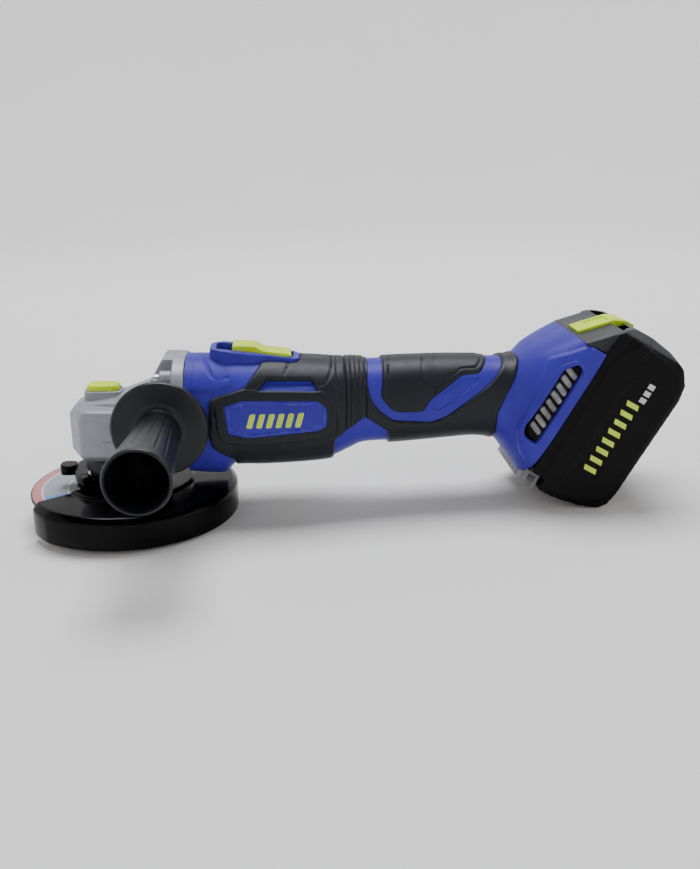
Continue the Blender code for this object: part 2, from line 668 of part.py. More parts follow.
def slide_switch():
    """Two-level slider in its bezel, the rod that carries its travel back and the microswitch."""
    skin = helper("bezel_seat", body(GAP))
    bezel = part("switch_bezel", plan_prism(BEZEL_OUTLINE, 79, 95), "blue")
    slope = ((45, 93.6), (58, 93.2), (101, 87.2), (106, 86.6), (106, 110), (45, 110))
    cut(bezel, helper("bezel_slope", side_prism(slope)), skin)
    cut(bezel, helper("bezel_slot", plan_prism(oval_slot(54.2, 98.6, 8.9), 60, 110)))
    outline = (
        (63.6, 89.6), (63.6, 94.0), (65.0, 94.8), (76.5, 94.2), (80.5, 91.6), (96.0, 89.6), (97.4, 88.6),
        (97.4, 88.3), (96.4, 88.0),
    )
    slider = part("switch_slider", side_prism(outline, -8.3, 8.3), "lime", (75, 0, 88))
    join(slider, helper("slider_stem", block((72, -2.6, 83.6), (80, 2.6, 90))))
    rod_outline = (
        (66, 83.2), (111, 83.2), (124, 79.4), (134, 79.4), (134, 77.8), (123.4, 77.8), (110.6, 81.8),
        (66, 81.8),
    )
    part("switch_rod", side_prism(rod_outline, -2.6, 2.6), "zinc", (75, 0, 82.5))
    part("microswitch", block((136.5, -8, 62), (158, 8, 78)), "black_plastic")


def oval_slot(low_x, high_x, half_y):
    middle = (low_x + high_x) / 2
    return [(x + middle, y) for x, y in oval((high_x - low_x) / 2, half_y, 8.0, 20)]


def side_handle():
    origin = (HANDLE_X, -BOSS_FACE, HANDLE_Z)
    start = BOSS_FACE + GAP
    end = HANDLE_END - start
    profile = (
        (4.3, 0), (10.0, 0), (11.0, 7.0), (25.6, 7.4), (26.5, 8.6), (26.5, 10.6), (25.4, 12.0), (16.4, 13.0),
        (15.2, 16.0), (15.4, 52.0), (16.6, 76.0), (17.9, end - 1.2), (17.4, end), (14.4, end),
        (13.7, end - 1.0), (13.4, 30.0), (12.4, 26.0), (4.3, 26.0),
    )
    part("side_handle", turned(profile, (HANDLE_X, -start, HANDLE_Z), (0, -1, 0)), "rubber", origin)
    stud = rod(3.95, (HANDLE_X, -17.0, HANDLE_Z), (HANDLE_X, -start - 25.0, HANDLE_Z), 20)
    part("handle_stud", stud, "zinc", origin)


# Housing, rubber and trim


def housing():
    """Clamshell halves cut from one shell, with seats for the motor, the rubber and the battery rail."""
    shell = helper("housing_shell", body(0.0))
    cut(shell, helper("foot_end", block((FOOT_FACE, -60, 50), (300, 60, 300)), tilted=True))
    cut(shell, helper("foot_crown", block((150, -60, FOOT_TOP), (300, 60, 300)), tilted=True))
    inside = helper("housing_inside", body(-WALL))
    front = helper("cavity_front", block((45, -60, 0), (BULKHEAD_FRONT, 60, 120)))
    keep(front, inside)
    back = helper("cavity_back", block((BULKHEAD_BACK, -60, 0), (300, 60, 130)))
    keep(back, inside)
    cut(back, helper("foot_wall", block((FOOT_FACE - 3.0, -60, 50), (300, 60, 300)), tilted=True))
    cut(back, helper("foot_lid", block((150, -60, FOOT_TOP - 3.0), (300, 60, 300)), tilted=True))
    cut(back, helper("rail_guide", block((178, -27.5, 100), (200, 27.5, 250)), tilted=True))
    cut(shell, front, back)
    axis_low, axis_high = (30, 0, MOTOR_Z), (46, 0, MOTOR_Z)
    cut(shell, helper("housing_mouth", rod(24.9, axis_low, axis_high)))
    cut(shell, helper("rear_bearing_seat", rod(9.8, (100, 0, MOTOR_Z), (120, 0, MOTOR_Z))))
    groove = ((58, 78), (58, 83.6), (112, 83.6), (126, 80.6), (126, 77))
    cut(shell, helper("rod_groove", side_prism(groove, -3.4, 3.4)))
    cut(shell, helper("stem_slot", block((63, -3.4, 78), (83.5, 3.4, 95))))
    for i, (y, z, _) in enumerate(SCREWS):
        cut(shell, helper(f"housing_pilot_{i + 1}", rod(2.2, (30, y, z), (43.5, y, z), 12)))
    cut(shell, helper("rail_slot_wide", block((180.9, -24.6, RAIL_LOW - 1), (187.1, 24.6, 260)), tilted=True))
    cut(shell, helper("rail_slot_neck", block((186, -20.6, RAIL_LOW - 1), (200, 20.6, 260)), tilted=True))
    cut(shell, helper("terminal_window", block((168, -16.5, 145.7), (182, 16.5, 164.3)), tilted=True))
    cut(shell, helper("vent_opening", side_prism(VENT_OUTLINE), tilted=True))

    seat = helper("rubber_seat", side_prism(RUBBER_OUTLINE))
    core = helper("rubber_floor", body(-RUBBER_DEPTH))
    for name, outline in (("window", WINDOW_OUTLINE), ("stripe", STRIPE_OUTLINE), ("belly", BELLY_OUTLINE)):
        cut(seat, helper(f"rubber_{name}", side_prism(outline)))
    cut(seat, helper("rubber_bezel_seat", plan_prism(grown(BEZEL_OUTLINE, 0.6), 78, 120)))
    cut(seat, core)
    cut(shell, seat)

    for side, low, high in (("left", -60.0, -GAP / 2), ("right", GAP / 2, 60.0)):
        half = part(f"housing_{side}", block((30, low, 0), (300, high, 130)), "blue")
        keep(half, shell)


def rubber():
    """Overmould and thumb pad on each half."""
    skin = helper("rubber_skin", ribbed_body(RUBBER_RISE))
    keep(skin, helper("rubber_limit", side_prism(grown(RUBBER_OUTLINE, -GAP))))
    cut(skin, helper("rubber_inside", body(-RUBBER_DEPTH + GAP)))
    cut(skin, helper("rubber_bezel", plan_prism(grown(BEZEL_OUTLINE, 1.0), 78, 120)))
    cut(skin, helper("rubber_front_block", block((30, -16, 80), (81.5, 16, 100))))
    over = helper("overmould_skin", side_prism(((45, 0), (235, 0), (235, 125), (45, 125))))
    keep(over, skin)
    openings = (WINDOW_OUTLINE, PANEL_OUTLINE, STRIPE_OUTLINE, PAD_OUTLINE, BELLY_OUTLINE)
    for i, outline in enumerate(openings):
        cut(over, helper(f"overmould_opening_{i + 1}", side_prism(grown(outline, GAP))))
    pad = helper("pad_skin", side_prism(grown(PAD_OUTLINE, -GAP)))
    keep(pad, skin)
    for side, low, high in (("left", -60.0, -GAP / 2), ("right", GAP / 2, 60.0)):
        for name, source in (("overmould", over), ("thumb_pad", pad)):
            half = part(f"{name}_{side}", block((30, low, 0), (300, high, 130)), "rubber")
            keep(half, source)


def trim():
    """Side panels, vent grilles and the bracket at the foot's low end."""
    panel = helper("panel_skin", body(0.9))
    keep(panel, helper("panel_limit", side_prism(grown(PANEL_OUTLINE, -GAP))))
    cut(panel, helper("panel_inside", body(-RUBBER_DEPTH + GAP)))
    grille = helper("grille_skin", body(-0.8))
    keep(grille, helper("grille_limit", side_prism(grown(VENT_OUTLINE, -GAP)), tilted=True))
    cut(grille, helper("grille_inside", body(-3.0)))
    for i in range(7):
        t = 158.5 + 6.0 * i
        slot = side_prism(((178.6, t - 2.4), (184.6, t + 0.6), (184.6, t + 2.6), (178.6, t - 0.4)))
        cut(grille, helper(f"grille_slot_{i + 1}", slot, tilted=True))
    for side, low, high in (("left", -60.0, -12.0), ("right", 12.0, 60.0)):
        plate = part(f"side_panel_{side}", block((30, low, 0), (300, high, 130)), "blue")
        keep(plate, panel)
        cover = part(f"vent_grille_{side}", block((30, low, 0), (300, high, 130)), "black_plastic")
        keep(cover, grille)
    bracket = part("foot_bracket", block((193.0, -30, 125.6), (201.8, 30, 135.2)), "zinc", tilted=True)
    cut(bracket, helper("bracket_hollow", block((195, -40, 120), (199.8, 40, 133.2)), tilted=True))


def foot_electrics():
    part("control_board", block((166, -17, 152), (168, 17, 182)), "board", tilted=True)
    base = block((170, -16.2, 146), (180.6, 16.2, 164))
    terminals = part("terminal_block", base, "black_plastic", tilted=True)
    for i, y in enumerate((-10.0, 10.0)):
        blade = block((180, y - 0.5, 146), (186.0, y + 0.5, 162))
        join(terminals, helper(f"terminal_blade_{i + 1}", blade, tilted=True))


# Battery pack

SHOULDER_START = Vector((174.3, 214.3))
SHOULDER_END = Vector((193.2, 233.7))
PACK_UPPER = (
    tuple(SHOULDER_START), tuple(SHOULDER_END), (198, PACK_TOP), (PACK_SEAM - GAP / 2, PACK_TOP),
    (PACK_SEAM - GAP / 2, PACK_LOW), (202.3, PACK_LOW), (202.3, 135.7), (PACK_FACE, 135.7),
    (PACK_FACE, 214.3),
)
PACK_LOWER = (
    (PACK_SEAM + GAP / 2, PACK_TOP), (236, PACK_TOP), (242, 233), (PACK_BACK, 226), (PACK_BACK, 147),
    (243.6, 139.5), (239.7, 134.8), (228.6, 131.0), (PACK_SEAM + GAP / 2, PACK_LOW),
)
PACK_INSIDE = (
    (PACK_FACE + PACK_WALL, 138.2), (204.8, 138.2), (204.8, 130.8), (213, 131.0), (228, 133.5),
    (238.4, 137.0), (241.2, 141), (242.5, 148), (242.5, 225), (239.5, 231), (234, 233.5),
    (PACK_FACE + PACK_WALL, 233.5),
)


def pack_width(half_width, low, top, drop):
    """The pack's section across Y, narrower at the top where its shoulders slope."""
    return (
        (-half_width, low), (half_width, low), (half_width, top - drop), (half_width - 12, top),
        (12 - half_width, top), (-half_width, top - drop),
    )


def battery():
    upper_shape = side_prism(PACK_UPPER, -PACK_HALF_WIDTH, PACK_HALF_WIDTH)
    lower_shape = side_prism(PACK_LOWER, -PACK_HALF_WIDTH, PACK_HALF_WIDTH)
    upper = part("battery_case_upper", upper_shape, "black_plastic", tilted=True)
    lower = part("battery_case_lower", lower_shape, "black_plastic", tilted=True)
    outer = pack_width(PACK_HALF_WIDTH, 100, PACK_TOP, 6.5)
    envelope = helper("pack_envelope", front_prism(outer, 150, 260), tilted=True)
    inner = pack_width(PACK_HALF_WIDTH - PACK_WALL, 100, 233.5, 4.0)
    inside = helper("pack_inside", side_prism(PACK_INSIDE), tilted=True)
    keep(inside, helper("pack_inside_width", front_prism(inner, 150, 260), tilted=True))
    keep(upper, envelope)
    keep(lower, envelope)
    for sign, side in ((-1, "left"), (1, "right")):
        low_y, high_y = sorted((sign * SHOULDER_HALF_WIDTH, sign * 60))
        trimmer = block((150, low_y, 200), (PACK_FACE, high_y, 260))
        cut(upper, helper(f"shoulder_trim_{side}", trimmer, tilted=True))
    join(upper, helper("rail_neck", block((186.5, -20, RAIL_LOW), (194, 20, 215)), tilted=True))
    join(upper, helper("rail_flange", block((181.4, -24, RAIL_LOW), (186.7, 24, 215)), tilted=True))
    cut(upper, inside)
    cut(lower, inside)
    for i, y in enumerate((-10.0, 10.0)):
        slot = block((178, y - 1.5, 130), (187.5, y + 1.5, 168))
        cut(upper, helper(f"terminal_slot_{i + 1}", slot, tilted=True))

    along = (SHOULDER_END - SHOULDER_START).normalized()
    out = Vector((-along.y, along.x))
    heel = SHOULDER_START + along * 6.4
    outline = [heel - out * 3.0, heel + out * 1.5, SHOULDER_END + out * 1.5, (198, 237.6), (206, 237.6)]
    outline += [(206, 232), (199.0, 232), SHOULDER_END - out * 3.0]
    middle = TILT @ Vector((188, 0, 229))
    button = side_prism([tuple(point) for point in outline], -BUTTON_HALF_WIDTH, BUTTON_HALF_WIDTH)
    part("battery_button", button, "lime", tuple(middle), tilted=True)
    heel = heel - along * 0.4
    pocket = [heel + out * 9.0, heel - out * 5.8, SHOULDER_END - out * 5.8, (200.8, 228.4), (209.4, 228.4)]
    pocket = [tuple(point) for point in pocket] + [(209.4, 250)]
    pocket = side_prism(pocket, -BUTTON_HALF_WIDTH - 0.4, BUTTON_HALF_WIDTH + 0.4)
    cut(upper, helper("button_pocket", pocket, tilted=True))

    part("battery_board", block((196.4, -26, 148), (198.0, 26, 212)), "board", tilted=True)
    for i in range(5):
        t = CELL_FIRST + CELL_PITCH * i
        first, second = (
            rod(CELL_RADIUS, (s, -CELL_HALF_LENGTH, t), (s, CELL_HALF_LENGTH, t), 20) for s in CELL_LAYERS
        )
        pair = part(f"cell_pair_{i + 1}", first, "cell_wrap", tilted=True)
        join(pair, helper(f"cell_second_{i + 1}", second, tilted=True))
        for side, low_y, high_y in (("left", -33.6, -32.0), ("right", 32.0, 33.6)):
            strip = block((CELL_LAYERS[0] - 4, low_y, t - 3.5), (CELL_LAYERS[1] + 4, high_y, t + 3.5))
            join(pair, helper(f"cell_strip_{side}_{i + 1}", strip, tilted=True))


def build():
    gear_case()
    head_fittings()
    pinion()
    crown_gear()
    spindle_group()
    motor()
    guard()
    guard_lever()
    spindle_lock()
    slide_switch()
    side_handle()
    housing()
    rubber()
    trim()
    foot_electrics()
    battery()


build()
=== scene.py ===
"""The finished look of the battery angle grinder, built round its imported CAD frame.

Lengths are in millimetres on the frame's own axes: X runs back to the battery, Z up the spindle, and
the side handle points along -Y. Meshes are scaled to metres when they are made.
"""
import math

import bmesh
import bpy
import numpy as np
from mathutils import Matrix, Vector


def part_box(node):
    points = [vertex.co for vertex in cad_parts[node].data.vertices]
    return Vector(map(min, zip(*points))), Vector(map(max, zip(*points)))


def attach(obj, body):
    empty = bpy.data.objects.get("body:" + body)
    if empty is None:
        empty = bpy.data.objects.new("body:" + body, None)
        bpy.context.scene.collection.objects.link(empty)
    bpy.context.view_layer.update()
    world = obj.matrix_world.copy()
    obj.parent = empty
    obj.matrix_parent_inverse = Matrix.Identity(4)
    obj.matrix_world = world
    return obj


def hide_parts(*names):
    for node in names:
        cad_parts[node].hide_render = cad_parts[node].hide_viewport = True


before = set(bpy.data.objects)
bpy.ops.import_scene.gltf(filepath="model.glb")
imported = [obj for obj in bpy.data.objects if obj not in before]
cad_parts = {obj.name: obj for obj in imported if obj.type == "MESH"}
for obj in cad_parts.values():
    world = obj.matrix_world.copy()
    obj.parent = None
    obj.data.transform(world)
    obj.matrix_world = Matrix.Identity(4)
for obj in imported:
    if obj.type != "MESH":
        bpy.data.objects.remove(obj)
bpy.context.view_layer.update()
MM = 0.001
UP = Vector((0, 0, 1))


def span(node, axis):
    """A CAD node's lowest and highest place along X, Y or Z (0, 1 or 2), in millimetres."""
    low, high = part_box(node)
    return low[axis] / MM, high[axis] / MM


def middle(node, axis):
    return sum(span(node, axis)) / 2


# Places taken from the frame
MOTOR_Z = middle("rotor_shaft", 2)
DISC_LOW, DISC_TOP = span("abrasive_disc", 2)
DISC_RADIUS = span("abrasive_disc", 0)[1]
GUARD_RADIUS = -span("guard", 1)[0]
GUARD_RIM, GUARD_TOP = span("guard", 2)
CAP_LOW, CAP_TOP = span("bearing_cap", 2)
LOCK_X = middle("lock_button", 0)
LOCK_LOW, LOCK_TOP = span("lock_button", 2)
HANDLE_X, HANDLE_Z = middle("side_handle", 0), middle("side_handle", 2)
HANDLE_END, HANDLE_START = span("side_handle", 1)
PACK_HALF_WIDTH = span("battery_case_lower", 1)[1]
SCREW_NODES = [f"gear_case_screw_{number}" for number in range(1, 5)]
SCREWS = [(*span(node, 0), middle(node, 1), middle(node, 2)) for node in SCREW_NODES]


def both_sides(half):
    """An outline of x and y, from its -Y half."""
    return (*half, *((x, -y) for x, y in half[::-1]))


def on_circle(radius, angle):
    return radius * math.cos(angle), radius * math.sin(angle)


# The housing's sections: top x and z, bottom x and z, half width, squareness
STATIONS = np.array((
    (37.3, 88.4, 37.3, 19.0, 31.8, 2.15),
    (48, 88.4, 48, 18.0, 31.8, 2.15),
    (58, 88.4, 58, 18.2, 31.8, 2.15),
    (63, 88.4, 64, 23.8, 31.6, 2.2),
    (70, 88.2, 70, 24.6, 31.5, 2.25),
    (80, 87.6, 80, 24.4, 31.2, 2.3),
    (104, 85.6, 104, 25.4, 29.8, 2.3),
    (120, 84.6, 120, 27.2, 28.0, 2.3),
    (130, 84.4, 130, 31.2, 25.5, 2.2),
    (140, 84.2, 140, 35.0, 23.6, 2.15),
    (160, 85.0, 160, 36.0, 23.2, 2.15),
    (185, 85.6, 185, 38.0, 22.6, 2.15),
    (205, 85.4, 205, 39.4, 22.4, 2.15),
    (218, 85.2, 217, 37.0, 22.8, 2.2),
    (228, 85.8, 224, 29.0, 25.5, 2.5),
    (238, 93.0, 230, 20.5, 32.0, 3.2),
    (252, 100.0, 234, 15.5, 35.0, 4.0),
    (268, 107.0, 236, 14.5, 36.0, 4.5),
    (283, 111.5, 239, 14.2, 36.0, 4.5),
))
# Points down each side of a section, and how far apart sections are: wide, and narrow along the ribs
HALF_RING = 126
SPACING, RIB_SPACING = 0.75, 0.3
RIB_FRONT, RIB_BACK = 121.2, 140.4
WALL = 3.5
# Edges that turn by more degrees than this are shaded as corners
SHARP = 48.0

# Outlines on the body's side, as x and z
RUBBER = (
    (80.6, 120), (80.6, 85.9), (70.4, 74.2), (51.8, 68.6), (50.9, 48.2), (52.2, 42.2), (64.6, 31.8),
    (64.6, 5), (213, 5), (216.3, 44), (215.3, 56.2), (219.9, 67.9), (225.9, 78.3), (229.5, 86.7),
    (229.5, 120),
)
WINDOW = ((77.8, 73.0), (82.8, 78.4), (108.6, 77.5), (112.7, 71.7))
PANEL = (
    (59.5, 65.4), (70.0, 68.4), (111.8, 66.9), (116.5, 62.7), (116.5, 53.0), (112.1, 50.5),
    (72.9, 47.4), (61.1, 50.1),
)
PAD = (
    (150.4, 120), (150.2, 84.6), (148.4, 67.3), (155.8, 59.1), (172.7, 58.9), (175.2, 65.0),
    (194.7, 78.7), (205.5, 79.1), (210.1, 84.3), (211.6, 85.3), (212.0, 120),
)
STRIPE = (
    (141.8, 120), (141.0, 84.2), (140.1, 76.1), (141.5, 65.7), (147.2, 58.7), (155.0, 53.0),
    (177.7, 51.3), (185.8, 54.5), (211.7, 73.7), (217.5, 79.9), (221.0, 85.1), (221.6, 120), *PAD[::-1],
)
BELLY = ((121.0, 44.0), (138.7, 57.0), (153.0, 46.6), (156.0, 5.0), (121.0, 5.0))
# The switch bezel from above, as x and y
BEZEL = both_sides(((50.5, -8), (57, -14.5), (76, -15), (84, -11.5), (99, -11), (102, -7)))
# The foot and the battery are drawn upright, with s across their joint and t along it, then tilted
SLOPE = math.radians(29.0)
TILT = Matrix.Rotation(SLOPE, 4, "Y")
FOOT_FACE, FOOT_CROWN = 192.5, 214.0
VENT = ((182.0, 202.0), (186.2, 200.2), (186.8, 150.8), (179.2, 151.3), (176.6, 156.2), (176.6, 195.0))


# Materials

class Finish:
    """A material's node tree, and the outputs that its look is mixed from."""

    def __init__(self, name):
        self.material = bpy.data.materials.new(name)
        self.material.use_nodes = True
        self.nodes, self.links = self.material.node_tree.nodes, self.material.node_tree.links
        self.inputs = self.nodes["Principled BSDF"].inputs

    def node(self, kind, **inputs):
        """A new node. An input may be a value, a colour or another node's output."""
        node = self.nodes.new(kind)
        for name, value in inputs.items():
            self.give(node.inputs[name.replace("_", " ")], value)
        return node

    def give(self, socket, value):
        """Links an output to a socket, or sets the socket to a value or a colour."""
        if isinstance(value, bpy.types.NodeSocket):
            self.links.new(value, socket)
        elif socket.type == "RGBA":
            socket.default_value = (*value, 1.0)
        else:
            socket.default_value = value

    def set(self, **inputs):
        """Sets or links inputs of the surface."""
        for name, value in inputs.items():
            self.give(self.inputs[name.replace("_", " ")], value)

    def place(self):
        return self.node("ShaderNodeTexCoord").outputs["Object"]

    def noise(self, scale, detail=3.0, roughness=0.5, stretch=None):
        """Noise in the piece's own coordinates. Scale is in features per metre."""
        place = self.place()
        if stretch:
            place = self.node("ShaderNodeMapping", Scale=stretch, Vector=place).outputs["Vector"]
        shape = {"Scale": scale, "Detail": detail, "Roughness": roughness, "Vector": place}
        return self.node("ShaderNodeTexNoise", **shape).outputs["Fac"]

    def wave(self, direction, scale, distortion, place):
        """Bands across one axis."""
        band = self.node("ShaderNodeTexWave", Scale=scale, Distortion=distortion, Vector=place)
        band.bands_direction = direction
        return band.outputs["Fac"]

    def ramp(self, source, low, high, first=0.0, last=1.0):
        """The source, spread from first to last as it goes from low to high."""
        spread = {"Value": source, "From_Min": low, "From_Max": high, "To_Min": first, "To_Max": last}
        return self.node("ShaderNodeMapRange", **spread).outputs["Result"]

    def blend(self, factor, first, last):
        """A colour between two colours, or between an output and a colour."""
        node = self.node("ShaderNodeMix", Factor=factor)
        node.data_type = "RGBA"
        self.give(node.inputs[6], first)
        self.give(node.inputs[7], last)
        return node.outputs[2]

    def maths(self, operation, first, second):
        node = self.node("ShaderNodeMath")
        node.operation = operation
        self.give(node.inputs[0], first)
        self.give(node.inputs[1], second)
        return node.outputs[0]

    def edges(self):
        """Where the surface is convex enough to be rubbed."""
        return self.ramp(self.node("ShaderNodeNewGeometry").outputs["Pointiness"], 0.515, 0.56)

    def bump(self, height, distance, strength, under=None):
        node = self.node("ShaderNodeBump", Strength=strength, Distance=distance * MM, Height=height)
        if under:
            self.give(node.inputs["Normal"], under)
        self.set(Normal=node.outputs["Normal"])
        return node.outputs["Normal"]


def moulded(name, colour, worn, roughness, grain, depth, coat=0.0, dusty=None, specular=0.5):
    """Moulded plastic or rubber: fine grain, slight blotches, rubbed edges and handling marks."""
    look = Finish(name)
    deep = tuple(channel * 0.82 for channel in colour)
    tone = look.blend(look.ramp(look.noise(45, 4.0, 0.6), 0.35, 0.65), deep, colour)
    rubbed = look.maths("MULTIPLY", look.edges(), look.ramp(look.noise(160), 0.4, 0.62))
    tone = look.blend(look.maths("MULTIPLY", rubbed, 0.6), tone, worn)
    if dusty:
        tone = look.blend(look.ramp(look.noise(420, 5.0, 0.7), 0.62, 0.78, 0.0, 0.35), tone, dusty)
    smear = look.ramp(look.noise(90, 5.0, 0.65), 0.3, 0.7, roughness - 0.06, roughness + 0.07)
    look.set(Base_Color=tone, Roughness=smear, Specular_IOR_Level=specular)
    if coat:
        look.set(Coat_Weight=coat, Coat_Roughness=0.12)
    wavy = look.bump(look.noise(55, 1.0), 0.12, 0.5)
    look.bump(look.noise(grain, 2.0, 0.6), depth, 0.7, wavy)
    return look.material


def metal(name, colour, dark, roughness, metallic, grain, depth, stretch=None):
    """Cast, turned or ground metal. A stretch draws the grain out along a cutting direction."""
    look = Finish(name)
    fine = look.noise(grain, 4.0, 0.6, stretch)
    tone = look.blend(look.ramp(look.noise(70, 4.0, 0.6), 0.3, 0.7), dark, colour)
    bright = tuple(min(channel * 1.5, 0.9) for channel in colour)
    tone = look.blend(look.maths("MULTIPLY", look.edges(), 0.5), tone, bright)
    polish = look.ramp(fine, 0.3, 0.7, roughness - 0.07, roughness + 0.08)
    look.set(Base_Color=tone, Metallic=metallic, Roughness=polish)
    look.bump(fine, depth, 0.6)
    return look.material


def grit(name, colour, dark):
    """Resin-bonded abrasive with a woven glass net under the surface."""
    look = Finish(name)
    place = look.place()
    grains = look.node("ShaderNodeTexVoronoi", Scale=1100, Vector=place).outputs["Distance"]
    weave = [look.ramp(look.wave(direction, 130, 0.3, place), 0.7, 1.0) for direction in ("X", "Y")]
    net = look.maths("MAXIMUM", *weave)
    glass = tuple(channel * 1.6 for channel in colour)
    tone = look.blend(look.maths("MULTIPLY", net, 0.5), look.blend(grains, dark, colour), glass)
    look.set(Base_Color=tone, Roughness=look.ramp(grains, 0, 1, 0.95, 0.7))
    look.bump(grains, 0.25, 0.8, look.bump(net, 0.15, 0.6))
    return look.material


def layered(name, colour, dark, roughness, pitch):
    """Stacked metal sheets or wound wire: thin bands across X."""
    look = Finish(name)
    bands = look.wave("X", 1000 / pitch / 20, 0.2, look.place())
    polish = look.ramp(look.noise(300), 0.3, 0.7, roughness - 0.08, roughness + 0.1)
    look.set(Base_Color=look.blend(bands, dark, colour), Metallic=1.0, Roughness=polish)
    look.bump(bands, 0.1, 0.6)
    return look.material


MATERIALS = {
    "blue": moulded(
        "blue_plastic", (0.042, 0.030, 0.37), (0.12, 0.12, 0.54), 0.42, 1500, 0.018, specular=0.16,
    ),
    "lime": moulded(
        "lime_plastic", (0.62, 0.83, 0.005), (0.74, 0.92, 0.08), 0.42, 1500, 0.018, specular=0.2,
    ),
    "lime_print": moulded("lime_print", (0.60, 0.80, 0.03), (0.65, 0.8, 0.1), 0.45, 2600, 0.01),
    "grey_print": moulded("grey_print", (0.60, 0.60, 0.62), (0.6, 0.6, 0.62), 0.45, 2600, 0.01),
    "rubber": moulded(
        "soft_rubber", (0.0085, 0.011, 0.015), (0.03, 0.035, 0.04), 0.44, 2300, 0.05,
        dusty=(0.022, 0.026, 0.03), specular=0.26,
    ),
    "black": moulded(
        "black_plastic", (0.0034, 0.0030, 0.0034), (0.007, 0.007, 0.008), 0.40, 1900, 0.035,
        dusty=(0.009, 0.009, 0.010), specular=0.10,
    ),
    "handle": moulded(
        "handle_plastic", (0.0055, 0.0065, 0.009), (0.03, 0.034, 0.04), 0.36, 2000, 0.03,
        dusty=(0.015, 0.016, 0.02), specular=0.32,
    ),
    # Lighter, more specular black for the pack's top and shoulders; the lighter colour is painted sheen from
    # the light above
    "painted_sheen_black": moulded(
        "painted_sheen_black_plastic", (0.011, 0.013, 0.017), (0.03, 0.033, 0.04), 0.40, 1900, 0.035,
        specular=0.40,
    ),
    "gloss": moulded(
        "gloss_black_paint", (0.0016, 0.0014, 0.0018), (0.02, 0.02, 0.022), 0.15, 500, 0.010,
        specular=0.10,
    ),
    "cast": metal("cast_aluminium", (0.31, 0.31, 0.35), (0.25, 0.25, 0.29), 0.46, 0.35, 700, 0.05),
    # Near-black cast metal for the bearing cap: painted shade, the shadow under the barrel and behind the
    # lever
    "dark_cast": metal("painted_shade_casting", (0.012, 0.012, 0.014), (0.006, 0.006, 0.007), 0.55, 0.3, 900, 0.04),
    "steel": metal("ground_steel", (0.50, 0.50, 0.51), (0.36, 0.36, 0.37), 0.30, 1.0, 700, 0.012, (1, 1, 6)),
    "zinc": metal("zinc_plate", (0.58, 0.57, 0.54), (0.42, 0.41, 0.39), 0.33, 1.0, 1200, 0.012),
    # Grey plastic of the foot bracket; the vent slats also use it, where the grey is a painted highlight
    "bracket": moulded("grey_plastic", (0.17, 0.16, 0.17), (0.4, 0.4, 0.4), 0.5, 1500, 0.02),
    "abrasive": grit("abrasive", (0.085, 0.078, 0.070), (0.020, 0.018, 0.016)),
    **{name: moulded(name, colour, worn, 0.6, 2600, 0.02) for name, colour, worn in (
        ("label_red", (0.52, 0.20, 0.19), (0.7, 0.5, 0.48)),
        ("label_grey", (0.30, 0.31, 0.34), (0.5, 0.5, 0.5)),
        ("label_white", (0.62, 0.62, 0.60), (0.7, 0.7, 0.7)),
        ("label_blue", (0.10, 0.27, 0.62), (0.3, 0.4, 0.6)),
    )},
    "copper": layered("copper_wire", (0.66, 0.27, 0.12), (0.30, 0.10, 0.04), 0.32, 0.8),
    "laminations": layered("laminated_steel", (0.42, 0.42, 0.43), (0.2, 0.2, 0.21), 0.4, 0.5),
    "board": moulded("circuit_board", (0.015, 0.16, 0.05), (0.05, 0.3, 0.1), 0.4, 800, 0.05, 0.3),
    "wrap": moulded("cell_wrap", (0.02, 0.22, 0.38), (0.2, 0.4, 0.5), 0.35, 500, 0.02, 0.2),
}


# Outlines and distances to them

def smooth_corners(outline, radius, steps=4):
    """The closed outline with each corner turned into a short curve."""
    points = [Vector(point[:2]) for point in outline]
    found = []
    count = len(points)
    for i, here in enumerate(points):
        back, ahead = points[i - 1] - here, points[(i + 1) % count] - here
        reach = min(radius, 0.45 * back.length, 0.45 * ahead.length)
        start, end = here + back.normalized() * reach, here + ahead.normalized() * reach
        for k in range(steps + 1):
            t = k / steps
            found.append(tuple(start * (1 - t) ** 2 + here * 2 * t * (1 - t) + end * t * t))
    return found


def nearest(points, starts, run):
    """How far points are from the nearest of some line segments."""
    length = np.maximum((run ** 2).sum(1), 1e-12)
    offset = points[:, None, :] - starts[None]
    share = np.clip((offset * run).sum(2) / length, 0, 1)
    return np.linalg.norm(offset - share[..., None] * run, axis=2).min(1)


def distance_to(outline):
    """A function of 2D points that gives how far they are outside a closed outline, or inside if negative."""
    starts = np.array(outline, float)
    ends = np.roll(starts, -1, axis=0)
    run = ends - starts

    def measure(points):
        crosses = (starts[:, 1] > points[:, 1, None]) != (ends[:, 1] > points[:, 1, None])
        with np.errstate(divide="ignore", invalid="ignore"):
            at = starts[:, 0] + (points[:, 1, None] - starts[:, 1]) / run[:, 1] * run[:, 0]
        inside = (crosses & (points[:, 0, None] < at)).sum(1) % 2 == 1
        far = nearest(points, starts, run)
        return np.where(inside, -far, far)

    return measure


def line_distance(path):
    """A function of 3D points that gives their distance to an open path, on both sides of the body."""
    path = np.array(path, float)
    return lambda points: nearest(np.stack([points[:, 0], -np.abs(points[:, 1]), points[:, 2]], 1),
                                  path[:-1], np.diff(path, axis=0))


def spline(a, b, c, d, t):
    """The smooth curve from b to c that comes from a and goes on to d."""
    return 0.5 * (2 * b + (c - a) * t + (2 * a - 5 * b + 4 * c - d) * t**2 + (3 * b - a - 3 * c + d) * t**3)


def curved(path):
    """A smooth open path through the given points."""
    path = np.array(path, float)
    padded = np.vstack([2 * path[0] - path[1], path, 2 * path[-1] - path[-2]])
    steps = 6
    found = [spline(*padded[i - 1 : i + 3], k / steps)
             for i in range(1, len(padded) - 2) for k in range(steps)]
    return [*found, padded[-2]]


def dip(distance, width):
    """One along the middle of a groove, and fading to nought beside it."""
    return np.exp(-((distance / width) ** 2))


def side_region(outline, radius=2.0):
    """How far 3D points are outside an outline of x and z, or inside it if negative."""
    measure = distance_to(smooth_corners(outline, radius))
    return lambda points: measure(points[:, [0, 2]])


